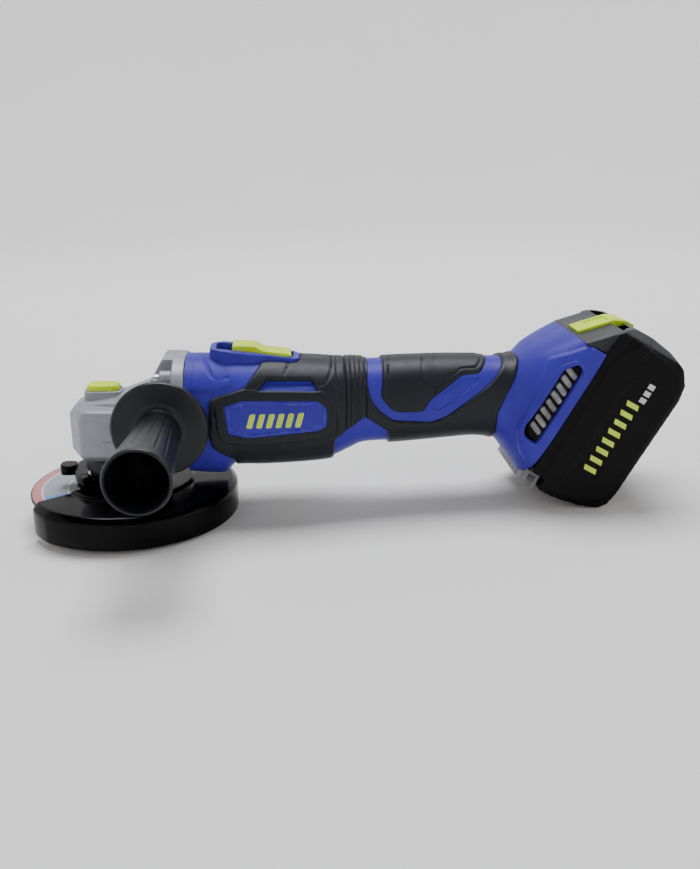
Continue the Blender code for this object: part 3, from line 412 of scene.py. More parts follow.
def foot_region(outline, radius):
    """The same for an outline of s and t."""
    measure = distance_to(smooth_corners(outline, radius))
    c, s = math.cos(SLOPE), math.sin(SLOPE)
    turn = np.array(((c, s), (-s, c)))
    return lambda points: measure(points[:, [0, 2]] @ turn)


def bezel_region(points):
    measured = distance_to(smooth_corners(BEZEL, 2.0))(points[:, :2])
    return np.where(points[:, 2] > 70, measured, 50.0)


rubber_region = side_region(RUBBER)
window_region = side_region(WINDOW, 1.5)
panel_region = side_region(PANEL, 1.5)
stripe_region = side_region(STRIPE, 3.0)
pad_region = side_region(PAD, 3.0)
belly_region = side_region(BELLY)
vent_region = foot_region(VENT, 2.5)


# The body's surface and the pieces that lie on it

def sections(places):
    """The body sections at fractional station numbers."""
    last = len(STATIONS) - 1
    low = np.minimum(places.astype(int), last - 1)
    t = (places - low)[:, None]
    around = (np.maximum(low - 1, 0), low, low + 1, np.minimum(low + 2, last))
    return spline(*(STATIONS[k] for k in around), t)


def row_places():
    """Station numbers of the rows, close together along the ribs."""
    places = np.linspace(0, len(STATIONS) - 1, 3001)
    found = sections(places)
    top = np.linalg.norm(np.diff(found[:, 0:2], axis=0), axis=1)
    low = np.linalg.norm(np.diff(found[:, 2:4], axis=0), axis=1)
    x = found[:-1, 0]
    spacing = np.where((x > RIB_FRONT - 1) & (x < RIB_BACK + 1), RIB_SPACING, SPACING)
    run = np.concatenate([[0], np.cumsum(np.maximum(top, low) / spacing)])
    return np.interp(np.linspace(0, run[-1], int(run[-1]) + 1), run, places)


def body_rows():
    """Points on the body as rows of rings, from the top down the -Y side and back up the +Y side."""
    found = sections(row_places())
    angle = np.linspace(0, math.pi, 721)
    cosine, sine = np.cos(angle), np.sin(angle)
    rows = []
    for top_x, top_z, low_x, low_z, half_width, squareness in found:
        lean = np.array((top_x - low_x, top_z - low_z))
        half_height = np.linalg.norm(lean) / 2
        lean /= 2 * half_height
        along = half_height * np.sign(cosine) * np.abs(cosine) ** (2 / squareness)
        across = half_width * np.abs(sine) ** (2 / squareness)
        run = np.concatenate([[0], np.cumsum(np.hypot(np.diff(along), np.diff(across)))])
        even = np.linspace(0, run[-1], HALF_RING + 1)
        along, across = np.interp(even, run, along), np.interp(even, run, across)
        x = (top_x + low_x) / 2 + along * lean[0]
        z = (top_z + low_z) / 2 + along * lean[1]
        across[[0, -1]] = 0
        half = np.stack([x, -across, z], 1)
        rows.append(np.vstack([half, (half * (1, -1, 1))[-2:0:-1]]))
    return np.array(rows)


ROWS = body_rows()
ROUND = np.roll(ROWS, -1, axis=1) - np.roll(ROWS, 1, axis=1)
NORMALS = np.cross(ROUND, np.gradient(ROWS, axis=0))
NORMALS /= np.linalg.norm(NORMALS, axis=2, keepdims=True)


def grid_faces(rows, columns, width, closed):
    """Quads over a grid of points, padded so that cut faces may have up to eight corners."""
    i, j = np.meshgrid(np.arange(rows - 1), np.arange(columns if closed else columns - 1), indexing="ij")
    i, j = i.ravel(), j.ravel()
    k = (j + 1) % columns
    quads = np.stack([i * width + j, (i + 1) * width + j, (i + 1) * width + k, i * width + k], 1)
    return np.hstack([quads, np.full((len(quads), 4), -1)])


class Skin:
    """Points on the body with their normals, and faces with a tag each."""

    def __init__(self, points, normals, faces, tags):
        self.points, self.normals, self.faces, self.tags = points, normals, faces, tags

    def split(self, value):
        """Cuts the faces along value = 0, and returns which of them lie where it is negative."""
        value = np.where(np.abs(value) < 1e-4, 1e-4, value)
        used = self.faces >= 0
        negative = (value[self.faces] < 0) & used
        below = negative.sum(1)
        whole = (below == 0) | (below == used.sum(1))
        made, points, normals = {}, [], []
        first = len(self.points)

        def between(a, b):
            key = (a, b) if a < b else (b, a)
            if key not in made:
                a, b = key
                t = value[a] / (value[a] - value[b])
                points.append(self.points[a] * (1 - t) + self.points[b] * t)
                normals.append(self.normals[a] * (1 - t) + self.normals[b] * t)
                made[key] = first + len(made)
            return made[key]

        faces, tags, inside = [], [], []
        for face, tag in zip(self.faces[~whole].tolist(), self.tags[~whole].tolist()):
            ring = [k for k in face if k >= 0]
            parts = ([], [])
            for a, b in zip(ring, ring[1:] + ring[:1]):
                parts[int(value[a] < 0)].append(a)
                if (value[a] < 0) != (value[b] < 0):
                    middle = between(a, b)
                    parts[0].append(middle)
                    parts[1].append(middle)
            for flag, part in enumerate(parts):
                faces.append(part + [-1] * (8 - len(part)))
                tags.append(tag)
                inside.append(bool(flag))
        kept = np.flatnonzero(whole)
        self.faces = np.vstack([self.faces[kept], np.array(faces, int).reshape(-1, 8)])
        self.tags = np.concatenate([self.tags[kept], np.array(tags, int)])
        inside = np.concatenate([below[kept] > 0, np.array(inside, bool)])
        if points:
            self.points = np.vstack([self.points, points])
            fresh = np.array(normals)
            fresh /= np.linalg.norm(fresh, axis=1, keepdims=True)
            self.normals = np.vstack([self.normals, fresh])
        return inside

    def clip(self, region):
        inside = self.split(region(self.points))
        self.faces, self.tags = self.faces[inside], self.tags[inside]
        used = np.zeros(len(self.points), bool)
        used[self.faces[self.faces >= 0]] = True
        index = np.cumsum(used) - 1
        self.faces = np.where(self.faces >= 0, index[self.faces], -1)
        self.points, self.normals = self.points[used], self.normals[used]

    def lines(self, region, levels):
        """Adds edges along the region's contours, so that a change of height there is clean."""
        value = region(self.points)
        for level in levels:
            first = len(self.points)
            self.split(value - level)
            value = np.concatenate([value, region(self.points[first:])])

    def moved(self, height):
        return self.points + self.normals * height[:, None]

    def outlines(self):
        """Each face's corners, without the padding."""
        return [[k for k in face if k >= 0] for face in self.faces.tolist()]


def half_skin(region):
    """The part of the body's -Y side that lies in a region."""
    rows, ring, _ = ROWS.shape
    faces = grid_faces(rows, HALF_RING + 1, ring, closed=False)
    points, normals = ROWS.reshape(-1, 3).copy(), NORMALS.reshape(-1, 3).copy()
    skin = Skin(points, normals, faces, np.zeros(len(faces), int))
    skin.clip(lambda points: points[:, 1] + 0.12)
    skin.clip(region)
    return skin


def link(name, data):
    """A new object in the scene."""
    obj = bpy.data.objects.new(name, data)
    bpy.context.scene.collection.objects.link(obj)
    return obj


def finish_shading(mesh, sharp):
    mesh.shade_smooth()
    mesh.set_sharp_from_angle(angle=math.radians(sharp))


def make_object(name, points, faces, material, tags=None, sharp=SHARP):
    """An object from points in millimetres."""
    used = np.zeros(len(points), bool)
    for face in faces:
        used[face] = True
    index = np.cumsum(used) - 1
    mesh = bpy.data.meshes.new(name)
    mesh.from_pydata(
        (np.asarray(points)[used] * MM).tolist(), [], [[int(index[k]) for k in face] for face in faces]
    )
    for finish in material if isinstance(material, list) else [material]:
        mesh.materials.append(MATERIALS[finish])
    if tags is not None:
        mesh.polygons.foreach_set("material_index", np.asarray(tags, np.int32))
    mesh.validate()
    mesh.update()
    finish_shading(mesh, sharp)
    return link(name, mesh)


def stands_for(obj, body, *nodes):
    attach(obj, body)
    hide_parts(*nodes)


def lay(name, node, region, height, material, extra=(), marks=(), edge=(-1.35, -0.42, -0.10, 0.0)):
    """A skin piece on each side of the body, with a rolled edge. Extra lists contours that need clean
    edges, and marks lists regions in other colours: print, and the grey of the vent slats, a painted
    highlight."""
    edge_places = (0, 0.15, 0.45, 0.9)
    skin = half_skin(region)
    skin.lines(region, [-distance for distance in edge_places[1:]])
    for other, contour in extra:
        skin.lines(other, contour)
    for tag, mark in enumerate(marks, 1):
        inside = skin.split(mark(skin.points))
        skin.tags[inside] = tag
    points = skin.points
    lift = height(points) + np.interp(-region(points), edge_places, edge)
    seam = -points[:, 1] - 0.12
    lift += np.interp(seam, (0, 0.25, 0.6), (-0.45, -0.08, 0))
    faces = skin.outlines()
    for side, sign in (("left", 1), ("right", -1)):
        placed = skin.moved(lift) * (1, sign, 1)
        obj = make_object(f"{name}_{side}", placed, [face[::sign] for face in faces], material, skin.tags)
        shell = obj.modifiers.new("thickness", "SOLIDIFY")
        shell.thickness = 0.9 * MM
        shell.offset = -1
        stands_for(obj, "housing", f"{node}_{side}")


# Solid shapes

def tube_faces(rings, size, closed=False):
    """Faces between neighbouring rings of points, and from the last ring to the first if closed."""
    faces = []
    for i in range(rings if closed else rings - 1):
        near, far = i * size, (i + 1) % rings * size
        faces += [[near + j, near + (j + 1) % size, far + (j + 1) % size, far + j] for j in range(size)]
    return faces


def end_faces(rings, size):
    return [list(range(size)), [(rings - 1) * size + j for j in range(size)]]


def revolve(profile, start=(0, 0, 0), axis=(0, 0, 1), steps=96, arc=None, shape=None):
    """Points and faces of a closed profile of radius and height, swept round an axis. An arc is a start
    and a sweep in degrees. Shape may change the radius at an angle and height."""
    profile = np.array(profile, float)
    begin, sweep = arc or (0, 360)
    count = steps + 1 if arc else steps
    angles = np.radians(begin + sweep * np.arange(count) / steps)
    turn = np.array(UP.rotation_difference(Vector(axis)).to_matrix())
    points = []
    for angle in angles:
        radius = profile[:, 0] if shape is None else shape(profile[:, 0], profile[:, 1], angle)
        ring = np.stack([radius * math.cos(angle), radius * math.sin(angle), profile[:, 1]], 1)
        points.append(ring @ turn.T + np.array(start))
    faces = tube_faces(count, len(profile), closed=not arc)
    return np.vstack(points), faces + (end_faces(count, len(profile)) if arc else [])


def clean(obj):
    """Welds the points on an axis, turns the faces outwards and shades the mesh."""
    bm = bmesh.new()
    bm.from_mesh(obj.data)
    bmesh.ops.remove_doubles(bm, verts=bm.verts, dist=1e-6)
    bmesh.ops.dissolve_degenerate(bm, edges=bm.edges, dist=1e-7)
    bmesh.ops.recalc_face_normals(bm, faces=bm.faces)
    bm.to_mesh(obj.data)
    bm.free()
    finish_shading(obj.data, SHARP)
    return obj


def turned(name, profile, material, start=(0, 0, 0), axis=(0, 0, 1), steps=96, radius=0.4, **options):
    outline = smooth_corners(profile, radius, 3)
    points, faces = revolve(outline, start, axis, steps, **options)
    return clean(make_object(name, points, faces, material))


def rod(name, radius, start, end, material="steel", steps=64):
    """A plain round bar between two points."""
    run = Vector(end) - Vector(start)
    profile = ((0, 0), (radius, 0), (radius, run.length), (0, run.length))
    points, faces = revolve(profile, start, run.normalized(), steps)
    return clean(make_object(name, points, faces, material))


def loft(name, rings, material):
    """A solid through rings of points, closed at both ends."""
    size = (len(rings), len(rings[0]))
    points = np.vstack([np.array(ring, float) for ring in rings])
    return clean(make_object(name, points, tube_faces(*size) + end_faces(*size), material))


def tilted(obj):
    """Tips an object drawn in s and t over to the foot's slope."""
    obj.data.transform(TILT)
    return obj


def prism(order, name, outline, low, high, material="steel", radius=0.0):
    """An outline of two coordinates carried along the third. The order says where X, Y and Z come from."""
    outline = smooth_corners(outline, radius) if radius else outline
    rings = [[[(a, b, depth)[k] for k in order] for a, b in outline] for depth in (low, high)]
    return loft(name, rings, material)


def side_prism(*shape, **options):
    """An outline of x and z carried along Y."""
    return prism((0, 2, 1), *shape, **options)


def plan_prism(*shape, **options):
    """An outline of x and y carried along Z."""
    return prism((0, 1, 2), *shape, **options)


def front_prism(*shape, **options):
    """An outline of y and z carried along X."""
    return prism((2, 0, 1), *shape, **options)


def block(name, low, high, material="steel"):
    outline = ((low[0], low[1]), (high[0], low[1]), (high[0], high[1]), (low[0], high[1]))
    return plan_prism(name, outline, low[2], high[2], material)


def oval(half_x, half_y, squareness, count=64):
    """A rounded-square outline about the origin."""
    points = []
    for i in range(count):
        angle = 2 * math.pi * i / count
        cosine, sine = math.cos(angle), math.sin(angle)
        points.append((
            half_x * math.copysign(abs(cosine) ** (2 / squareness), cosine),
            half_y * math.copysign(abs(sine) ** (2 / squareness), sine),
        ))
    return points


def combine(obj, operation, *others):
    """Adds a Boolean for each of the other objects. Settle makes them final."""
    for other in others:
        modifier = obj.modifiers.new(other.name, "BOOLEAN")
        modifier.operation = operation
        modifier.solver = "MANIFOLD"
        modifier.object = other


def settle(obj, *helpers, sharp=SHARP):
    """Makes the object's modifiers part of its mesh, and removes the helpers they used."""
    bpy.context.view_layer.update()
    graph = bpy.context.evaluated_depsgraph_get()
    mesh = bpy.data.meshes.new_from_object(obj.evaluated_get(graph))
    if not mesh.polygons:
        raise RuntimeError(f"{obj.name} came out empty")
    obj.modifiers.clear()
    obj.data = mesh
    finish_shading(mesh, sharp)
    for helper in helpers:
        bpy.data.objects.remove(helper, do_unlink=True)
    return obj


def part_of(name, whole, limit, sharp=SHARP):
    """A copy of the part of an object that lies inside a limit."""
    part = link(name, whole.data.copy())
    combine(part, "INTERSECT", limit)
    return settle(part, limit, sharp=sharp)


def merged(name, pieces, material):
    """One object holding all the pieces' meshes."""
    points, faces, first = [], [], 0
    for piece in pieces:
        mesh = piece.data
        points += [tuple(vertex.co / MM) for vertex in mesh.vertices]
        faces += [[first + k for k in face.vertices] for face in mesh.polygons]
        first += len(mesh.vertices)
    for piece in pieces:
        bpy.data.objects.remove(piece, do_unlink=True)
    return make_object(name, np.array(points), faces, material)


def melted(name, pieces, material, voxel, passes):
    """The pieces melted into one skin with filleted joints, as a casting or moulding has."""
    obj = merged(name, pieces, material)
    remesh = obj.modifiers.new("melt", "REMESH")
    remesh.mode = "VOXEL"
    remesh.voxel_size = voxel * MM
    soften = obj.modifiers.new("soften", "SMOOTH")
    soften.factor = 0.5
    soften.iterations = passes
    settle(obj, sharp=60)
    obj.data.materials.clear()
    obj.data.materials.append(MATERIALS[material])
    return obj


def carved(obj, *cutters, sharp=SHARP):
    combine(obj, "DIFFERENCE", *cutters)
    return settle(obj, *cutters, sharp=sharp)


def bevelled(obj, width):
    modifier = obj.modifiers.new("rounded edges", "BEVEL")
    modifier.width = width * MM
    modifier.segments = 3
    modifier.limit_method = "ANGLE"
    modifier.angle_limit = math.radians(35)
    modifier.harden_normals = True


# Housing halves

FOOT_FACE_REGION = side_region(
    ((226.0, 47.6), (237.5, 79), (241, 90), (263, 98.2), (292, 103), (262, 8), (238, 20), (228.5, 36)), 3.0
)
VENT_BORDER = (2.4, 1.9, 0.6, 0.25, 0.0)
TOP_GROOVE = line_distance(
    curved(((46, -3, 88.3), (49.1, -12.7, 86.3), (53.6, -22.9, 80), (61.5, -22.9, 80.1)))
)
STRIPE_FACET = side_region((
    (176.6, 60.6), (178.2, 65.4), (195.4, 77.0), (206.4, 77.4), (203.6, 74.2), (186.2, 61.6), (181.0, 58.6)
), 1.0)


def seat_region(points):
    """Where the housing is sunk to take the rubber and the panels."""
    return np.maximum.reduce([
        rubber_region(points), -window_region(points), -stripe_region(points), -belly_region(points),
        0.6 - bezel_region(points),
    ])


def housing_height(points):
    seat = -seat_region(points)
    height = np.interp(seat, (-0.6, -0.25, 0, 0.25), (0, -0.08, -0.35, -1.5))
    x, z = points[:, 0], points[:, 2]
    window = -window_region(points)
    height -= np.interp(window, (0.2, 0.9), (0, 1)) * np.interp(z, (73, 78), (0.4, 2.4))
    height -= 0.9 * dip(TOP_GROOVE(points), 0.75)
    crease = np.interp(x, (37.9, 54.4, 65.7), (74.7, 74.5, 77.8)) - z
    fade = np.interp(x, (62, 68), (1, 0)) * np.interp(z, (52, 68), (0, 1))
    height -= np.interp(crease, (0, 2.2), (0, 1.1)) * fade
    height -= np.interp(np.abs(x - 41.2), (0, 0.5), (0.35, 0))
    side = -FOOT_FACE_REGION(points)
    height += np.interp(side, (-0.3, 1.3), (0, 1.0))
    vent = vent_region(points)
    height += np.interp(vent, (0.0, 0.25, 0.6, 1.9, 2.4), (-0.4, 0.3, 0.45, 0.45, 0))
    height -= np.interp(-STRIPE_FACET(points), (0, 0.4), (0, 0.6))
    height -= np.interp(np.abs(points[:, 1]), (0, 0.45), (0.4, 0))
    return height


def body_solid(name, offset, step=6):
    """A plain closed solid of the body at an offset from its surface, for cutting."""
    rows = (ROWS + NORMALS * offset)[::step, ::3]
    rows = np.vstack([rows, (ROWS + NORMALS * offset)[-1:, ::3]])
    return loft(name, list(rows), "blue")


def foot_block(name, low, high, material="steel"):
    return tilted(block(name, low, high, material))


def room(name, limit, *kept):
    """The housing's inside within a limit, leaving out the kept blocks."""
    hollow = body_solid(name, -WALL)
    combine(hollow, "INTERSECT", limit)
    combine(hollow, "DIFFERENCE", *kept)
    return settle(hollow, limit, *kept)


def housing_shell():
    """The body's whole surface as one solid, with its seats, grooves and raised edges."""
    rows, count, _ = ROWS.shape
    points, normals = ROWS.reshape(-1, 3).copy(), NORMALS.reshape(-1, 3).copy()
    faces = grid_faces(rows, count, count, closed=True)
    front, back = len(points), len(points) + 1
    points = np.vstack([points, ROWS[0].mean(0), ROWS[-1].mean(0)])
    normals = np.vstack([normals, (-1, 0, 0), (1, 0, 0)])
    caps, last, padding = [], (rows - 1) * count, [-1] * 5
    for j in range(count):
        k = (j + 1) % count
        caps += [[front, j, k] + padding, [back, last + k, last + j] + padding]
    faces = np.vstack([faces, caps])
    skin = Skin(points, normals, faces, np.zeros(len(faces), int))
    skin.lines(seat_region, (0.6, 0.25, 0, -0.25))
    skin.lines(window_region, (-0.2, -0.9))
    skin.lines(FOOT_FACE_REGION, (0.3, -1.3))
    skin.lines(vent_region, VENT_BORDER)
    skin.lines(STRIPE_FACET, (0, -0.4))
    placed = skin.moved(housing_height(skin.points))
    return clean(make_object("housing_shell", placed, skin.outlines(), "blue"))


def housing():
    shell = housing_shell()
    front_room = room("front_room", block("front_span", (45, -60, 0), (107, 60, 130)))
    back_room = room(
        "back_room", block("back_span", (113, -60, 0), (320, 60, 130)),
        foot_block("foot_wall", (FOOT_FACE - 3, -60, 40), (330, 60, 300)),
        foot_block("foot_lid", (150, -60, FOOT_CROWN - 3), (330, 60, 300)),
        foot_block("rail_guide", (178, -27.5, 100), (200, 27.5, 250)),
        foot_block("foot_toe", (165, -60, 80), (330, 60, 138)),
    )
    carved(
        shell, foot_block("foot_end", (FOOT_FACE, -60, 40), (330, 60, 300)),
        foot_block("foot_crown", (150, -60, FOOT_CROWN), (330, 60, 300)), front_room, back_room,
        rod("housing_mouth", 24.9, (30, 0, MOTOR_Z), (46, 0, MOTOR_Z)),
        rod("rear_bearing_seat", 9.8, (100, 0, MOTOR_Z), (120, 0, MOTOR_Z)),
        block("stem_slot", (63, -3.4, 76), (83.5, 3.4, 95)),
        foot_block("rail_slot_wide", (180.9, -24.6, 147), (187.1, 24.6, 260)),
        foot_block("rail_slot_neck", (186, -20.6, 139), (200, 20.6, 260)),
        foot_block("terminal_window", (168, -16.5, 145.7), (182, 16.5, 164.3)),
        tilted(side_prism("vent_opening", smooth_corners(VENT, 2.5), -60, 60)),
    )
    for side, low, high in (("left", -60.0, -0.08), ("right", 0.08, 60.0)):
        half = part_of(f"shell_{side}", shell, block("limit", (30, low, 0), (320, high, 130)), 52)
        stands_for(half, "housing", f"housing_{side}")
    bpy.data.objects.remove(shell, do_unlink=True)


# Rubber, panels and grilles

RIBS = ((122.4, 0.55, 0.55), (127.8, 1.15, 0.8), (130.6, 0.95, 0.6), (133.5, 0.5, 0.5), (136.2, 0.65, 0.5),
        (139.5, 1.2, 0.7))
SPLIT_LINE = line_distance(((95.8, -10.5, 85.2), (94.0, -18.5, 82.0), (92.0, -25.5, 78.0)))
SWEEP_LINE = side_region(
    ((100, 120), (119.5, 120), (120.2, 83.5), (119.2, 79.5), (115.5, 74.6), (100, 74.9)), 3.0
)
PAD_LINES = [line_distance(curved(path)) for path in (
    ((153.6, 0, 84.9), (153.3, -5, 84.4), (152.6, -13.8, 80.8), (152.4, -19.5, 74)),
    ((172.8, 0, 85.5), (172.8, -6, 84.9), (172.4, -14, 80.9), (172.3, -19.2, 75.2)),
    ((180.2, 0, 85.6), (180.2, -6, 84.9), (179.9, -14, 80.4), (179.7, -19.8, 74.6)),
)]
PAD_STEP = side_region((
    (150, 120), (150, 50), (176.5, 50), (178.5, 71.8), (194.4, 81.6), (203.4, 81.8), (206.6, 85.0),
    (206.8, 120),
), 1.5)


def rubber_piece(points):
    return np.maximum.reduce([
        rubber_region(points) + 0.3, 0.3 - window_region(points), 0.3 - panel_region(points),
        0.3 - stripe_region(points), 0.3 - pad_region(points), 0.3 - belly_region(points),
        1.0 - bezel_region(points),
    ])


def rubber_height(points):
    x, z = points[:, 0], points[:, 2]
    height = np.full(len(points), 0.6)
    fade = np.interp(z, (40, 58), (0.25, 1))
    for place, depth, width in RIBS:
        height -= depth * fade * dip(x - place, width)
    height += 0.5 * fade * np.exp(-(((x - 133.5) / 5) ** 4))
    height += np.interp(panel_region(points), (0.3, 4.6, 5.6), (0.45, 0.45, 0))
    height -= 0.6 * dip(SPLIT_LINE(points), 0.55)
    height -= 0.55 * dip(SWEEP_LINE(points), 0.6) * (z > 73) * (x > 108)
    belly = np.interp(z, (22, 30), (1, 0)) * np.interp(x, (66, 74, 112, 120), (0, 1, 1, 0))
    return height - 0.5 * belly


def pad_height(points):
    height = np.full(len(points), 0.6)
    for measure in PAD_LINES:
        height -= 0.5 * dip(measure(points), 0.45)
    step = np.interp(PAD_STEP(points), (-0.1, 0.5), (0, 0.55))
    return height - step * (points[:, 0] > 174)


def overmoulds():
    lay("rubber", "overmould", rubber_piece, rubber_height, "rubber", ((panel_region, (4.6, 5.6)),))
    lay("grip_pad", "thumb_pad", lambda points: pad_region(points) + 0.3, pad_height, "rubber",
        ((PAD_STEP, (-0.1, 0.5)),))


def slanted_bars(first, pitch, count, low, high, width, lean):
    """Outlines of a row of slanted bars."""
    bars = []
    for i in range(count):
        x = first + pitch * i
        bars.append(((x, low), (x + width, low), (x + width + lean, high), (x + lean, high)))
    return bars


def any_of(regions):
    return lambda points: np.minimum.reduce([region(points) for region in regions])


def side_panels():
    bars = any_of([side_region(bar, 0.3) for bar in slanted_bars(71.5, 5.4, 6, 53.2, 61.0, 3.1, 2.2)])

    def height(points):
        lift = 1.0 + np.interp(-panel_region(points), (1.5, 2.0), (0, -0.35))
        return lift + np.interp(-bars(points), (-0.05, 0.1), (0, 0.06))

    lay("badge_panel", "side_panel", lambda points: panel_region(points) + 0.25, height,
        ["blue", "lime_print"], ((panel_region, (-1.5, -2.0)),), (bars,))


def grilles():
    bars = any_of([
        foot_region(((178.3, t), (184.9, t - 2.6), (184.9, t - 0.5), (178.3, t + 2.1)), 0.5)
        for t in np.arange(158.6, 200.0, 5.35)
    ])

    def height(points):
        return -2.6 + np.interp(-bars(points), (-0.3, 0.3), (0, 1.5))

    # The slats take the grey plastic as a painted highlight, the light caught on the bars, on a black grille
    lay("vent_slats", "vent_grille", lambda points: vent_region(points) + 0.3, height, ["black", "bracket"],
        ((bars, (0.3, -0.3)),), (bars,), (-0.3, -0.1, 0, 0))


# Gear head

HEAD_SIDE = ((-30.6, -8.5), (-21.8, -26.5), (12, -28.6), (28.5, -22.5), (33.5, -10))
HEAD = smooth_corners(both_sides(HEAD_SIDE), 1.8, 5)
HEAD_LOW = CAP_TOP + 1.0
PEDESTAL = oval(10.7, 7.7, 5.0)
# Size of the barrel's outline at each height
BARREL = ((0.86, HEAD_LOW), (0.97, HEAD_LOW + 2.4), (1.0, HEAD_LOW + 4.0), (1.0, 56.2), (0.985, 57.0),
          (0.89, 60.8), (0.80, 61.4), (0.76, 61.6))
# Sections of the ridge behind the button: x, top z, bottom z, half width, squareness
RIDGE = ((-25.6, 61.8, 54, 8.0, 5), (-24.0, 62.4, 52, 12.0, 6), (-3, 65.2, 48, 18.0, 6),
         (9, 69.6, 38, 21.0, 4.5), (17, 73.4, 32, 25.0, 3.2), (23, 78.6, 28, 29.5, 2.6),
         (31.2, 84.5, 26.0, 31.5, 2.4))


def head_casting():
    barrel = loft("barrel", [[(x * size, y * size, z) for x, y in HEAD] for size, z in BARREL], "cast")
    rings = []
    for x, top, low, half_width, squareness in RIDGE:
        outline = oval((top - low) / 2, half_width, squareness, 96)
        rings.append([(x, -y, (top + low) / 2 + z) for z, y in outline])
    ridge = loft("ridge", rings, "cast")
    outline = [(y, MOTOR_Z + z) for z, y in oval(32.4, 32.6, 2.5, 128)]
    parts = [barrel, ridge, front_prism("flange", outline, 30.4, 37.0, "cast")]
    for front, _, y, z in SCREWS:
        parts.append(rod("screw_boss", 5.4, (front + 3.5, y, z), (33, y, z), "cast"))
    parts.append(rod("handle_boss", 10.5, (HANDLE_X, -33.5, HANDLE_Z), (HANDLE_X, 33.5, HANDLE_Z), "cast"))
    parts.append(loft("pedestal", [[(x * size + LOCK_X, y * size, z) for x, y in PEDESTAL]
                                   for size, z in ((1.04, 60), (1.0, 64.5), (0.99, 68.3))], "cast"))
    gusset = ((15, 71.5), (23.6, 87.0), (25, 88.4), (33.5, 88.4), (33.5, 70), (17, 66))
    parts.append(side_prism("gusset", gusset, -12.0, 12.0, "cast"))
    for side in (-1, 1):
        fin = ((24, side * 19), (33, side * 26), (33, side * 29), (22, side * 22))
        parts.append(plan_prism("fin", fin, 62, 76, "cast"))
    return melted("cast_head", parts, "cast", 0.5, 3)


def head_cutters():
    """The gear chamber, bores, holes and slits of the head, and its two flat faces."""
    pocket = [(x * 0.9 + LOCK_X, y * 0.87) for x, y in PEDESTAL]
    cutters = [
        plan_prism("chamber", [(x * 0.84, y * 0.82) for x, y in HEAD], HEAD_LOW + 3, 55.0),
        rod("mouth", 22.3, (0, 0, 20), (0, 0, HEAD_LOW + 4)),
        rod("pinion_bore", 9.0, (7.5, 0, MOTOR_Z), (23, 0, MOTOR_Z)),
        rod("bearing_bore", 11.3, (22.5, 0, MOTOR_Z), (32, 0, MOTOR_Z)),
        rod("back_recess", 24.8, (30.5, 0, MOTOR_Z), (45, 0, MOTOR_Z)),
        rod("spindle_bore", 6.3, (0, 0, 50), (0, 0, 64.6)),
        rod("spring_bore", 4.0, (LOCK_X, 0, 50), (LOCK_X, 0, 66)),
        plan_prism("button_pocket", pocket, 63.8, 74),
        block("parting_slit", (-9, -40, 44.3), (-1, -27, 45.1)),
        block("foot_trim", (-50, -50, 10), (29.5, 50, CAP_TOP + 0.3)),
        block("back_trim", (37.0, -60, 0), (60, 60, 110)),
    ]
    for side in (-1, 1):
        start, end = ((HANDLE_X, side * reach, HANDLE_Z) for reach in (16.5, 40))
        cutters.append(rod("handle_hole", 4.3, start, end))
        slot = ((side * 13.2, 80.2), (side * 21, 75.4), (side * 19.2, 70.6), (side * 12.4, 74.0))
        cutters.append(front_prism("exhaust", slot, 26.5, 31.2, radius=0.8))
    for front, _, y, z in SCREWS:
        cutters.append(rod("counterbore", 4.1, (front - 8, y, z), (front + 3.4, y, z)))
        cutters.append(rod("screw_hole", 2.2, (front, y, z), (45, y, z)))
    return cutters


def gear_head():
    head = carved(head_casting(), *head_cutters())
    stands_for(head, "housing", "gear_case")
    lip = rod("cap_lip", 24.6, (0, 0, 22), (0, 0, CAP_TOP))
    neck = rod("cap_neck", 19.5, (0, 0, CAP_LOW), (0, 0, 23))
    # The cap is coloured near black as painted shade for the shadow under the barrel
    cap = melted("cast_cap", [lip, neck], "dark_cast", 0.5, 3)
    carved(cap, rod("cap_bore", 16.2, (0, 0, 17), (0, 0, 40)), rod("cap_opening", 8.4, (0, 0, 5), (0, 0, 18)))
    stands_for(cap, "housing", "bearing_cap")


def head_screws():
    for number, (front, back, y, z) in enumerate(SCREWS, 1):
        length = back - front
        profile = ((0, 0), (3.2, 0), (3.6, 0.5), (3.6, 3.2), (1.9, 3.2), (1.9, length - 1), (1.2, length),
                   (0, length))
        screw = turned(f"head_screw_{number}", profile, "zinc", (front, y, z), (1, 0, 0), 48, 0.3)
        around = [on_circle(1.7, math.pi * k / 3) for k in range(6)]
        key = [(y + across, z + up) for across, up in around]
        carved(screw, front_prism("key", key, front - 1, front + 2.0), sharp=35)
        stands_for(screw, "housing", SCREW_NODES[number - 1])


def lock_button():
    top = LOCK_TOP - 1.6
    insets = ((0.0, LOCK_LOW + 0.3), (0.0, top - 1.6), (0.12, top - 0.9), (0.45, top - 0.35),
              (1.0, top - 0.06), (1.7, top), (2.6, top - 0.05), (4.2, top - 0.18))
    rings = [[(x * (1 - inset / 9.1) + LOCK_X, y * (1 - inset / 6.1), z) for x, y in oval(9.1, 6.1, 5.0, 72)]
             for inset, z in insets]
    stands_for(loft("spindle_lock_button", rings, "lime"), "lock", "lock_button")


# Wheel, guard and lever

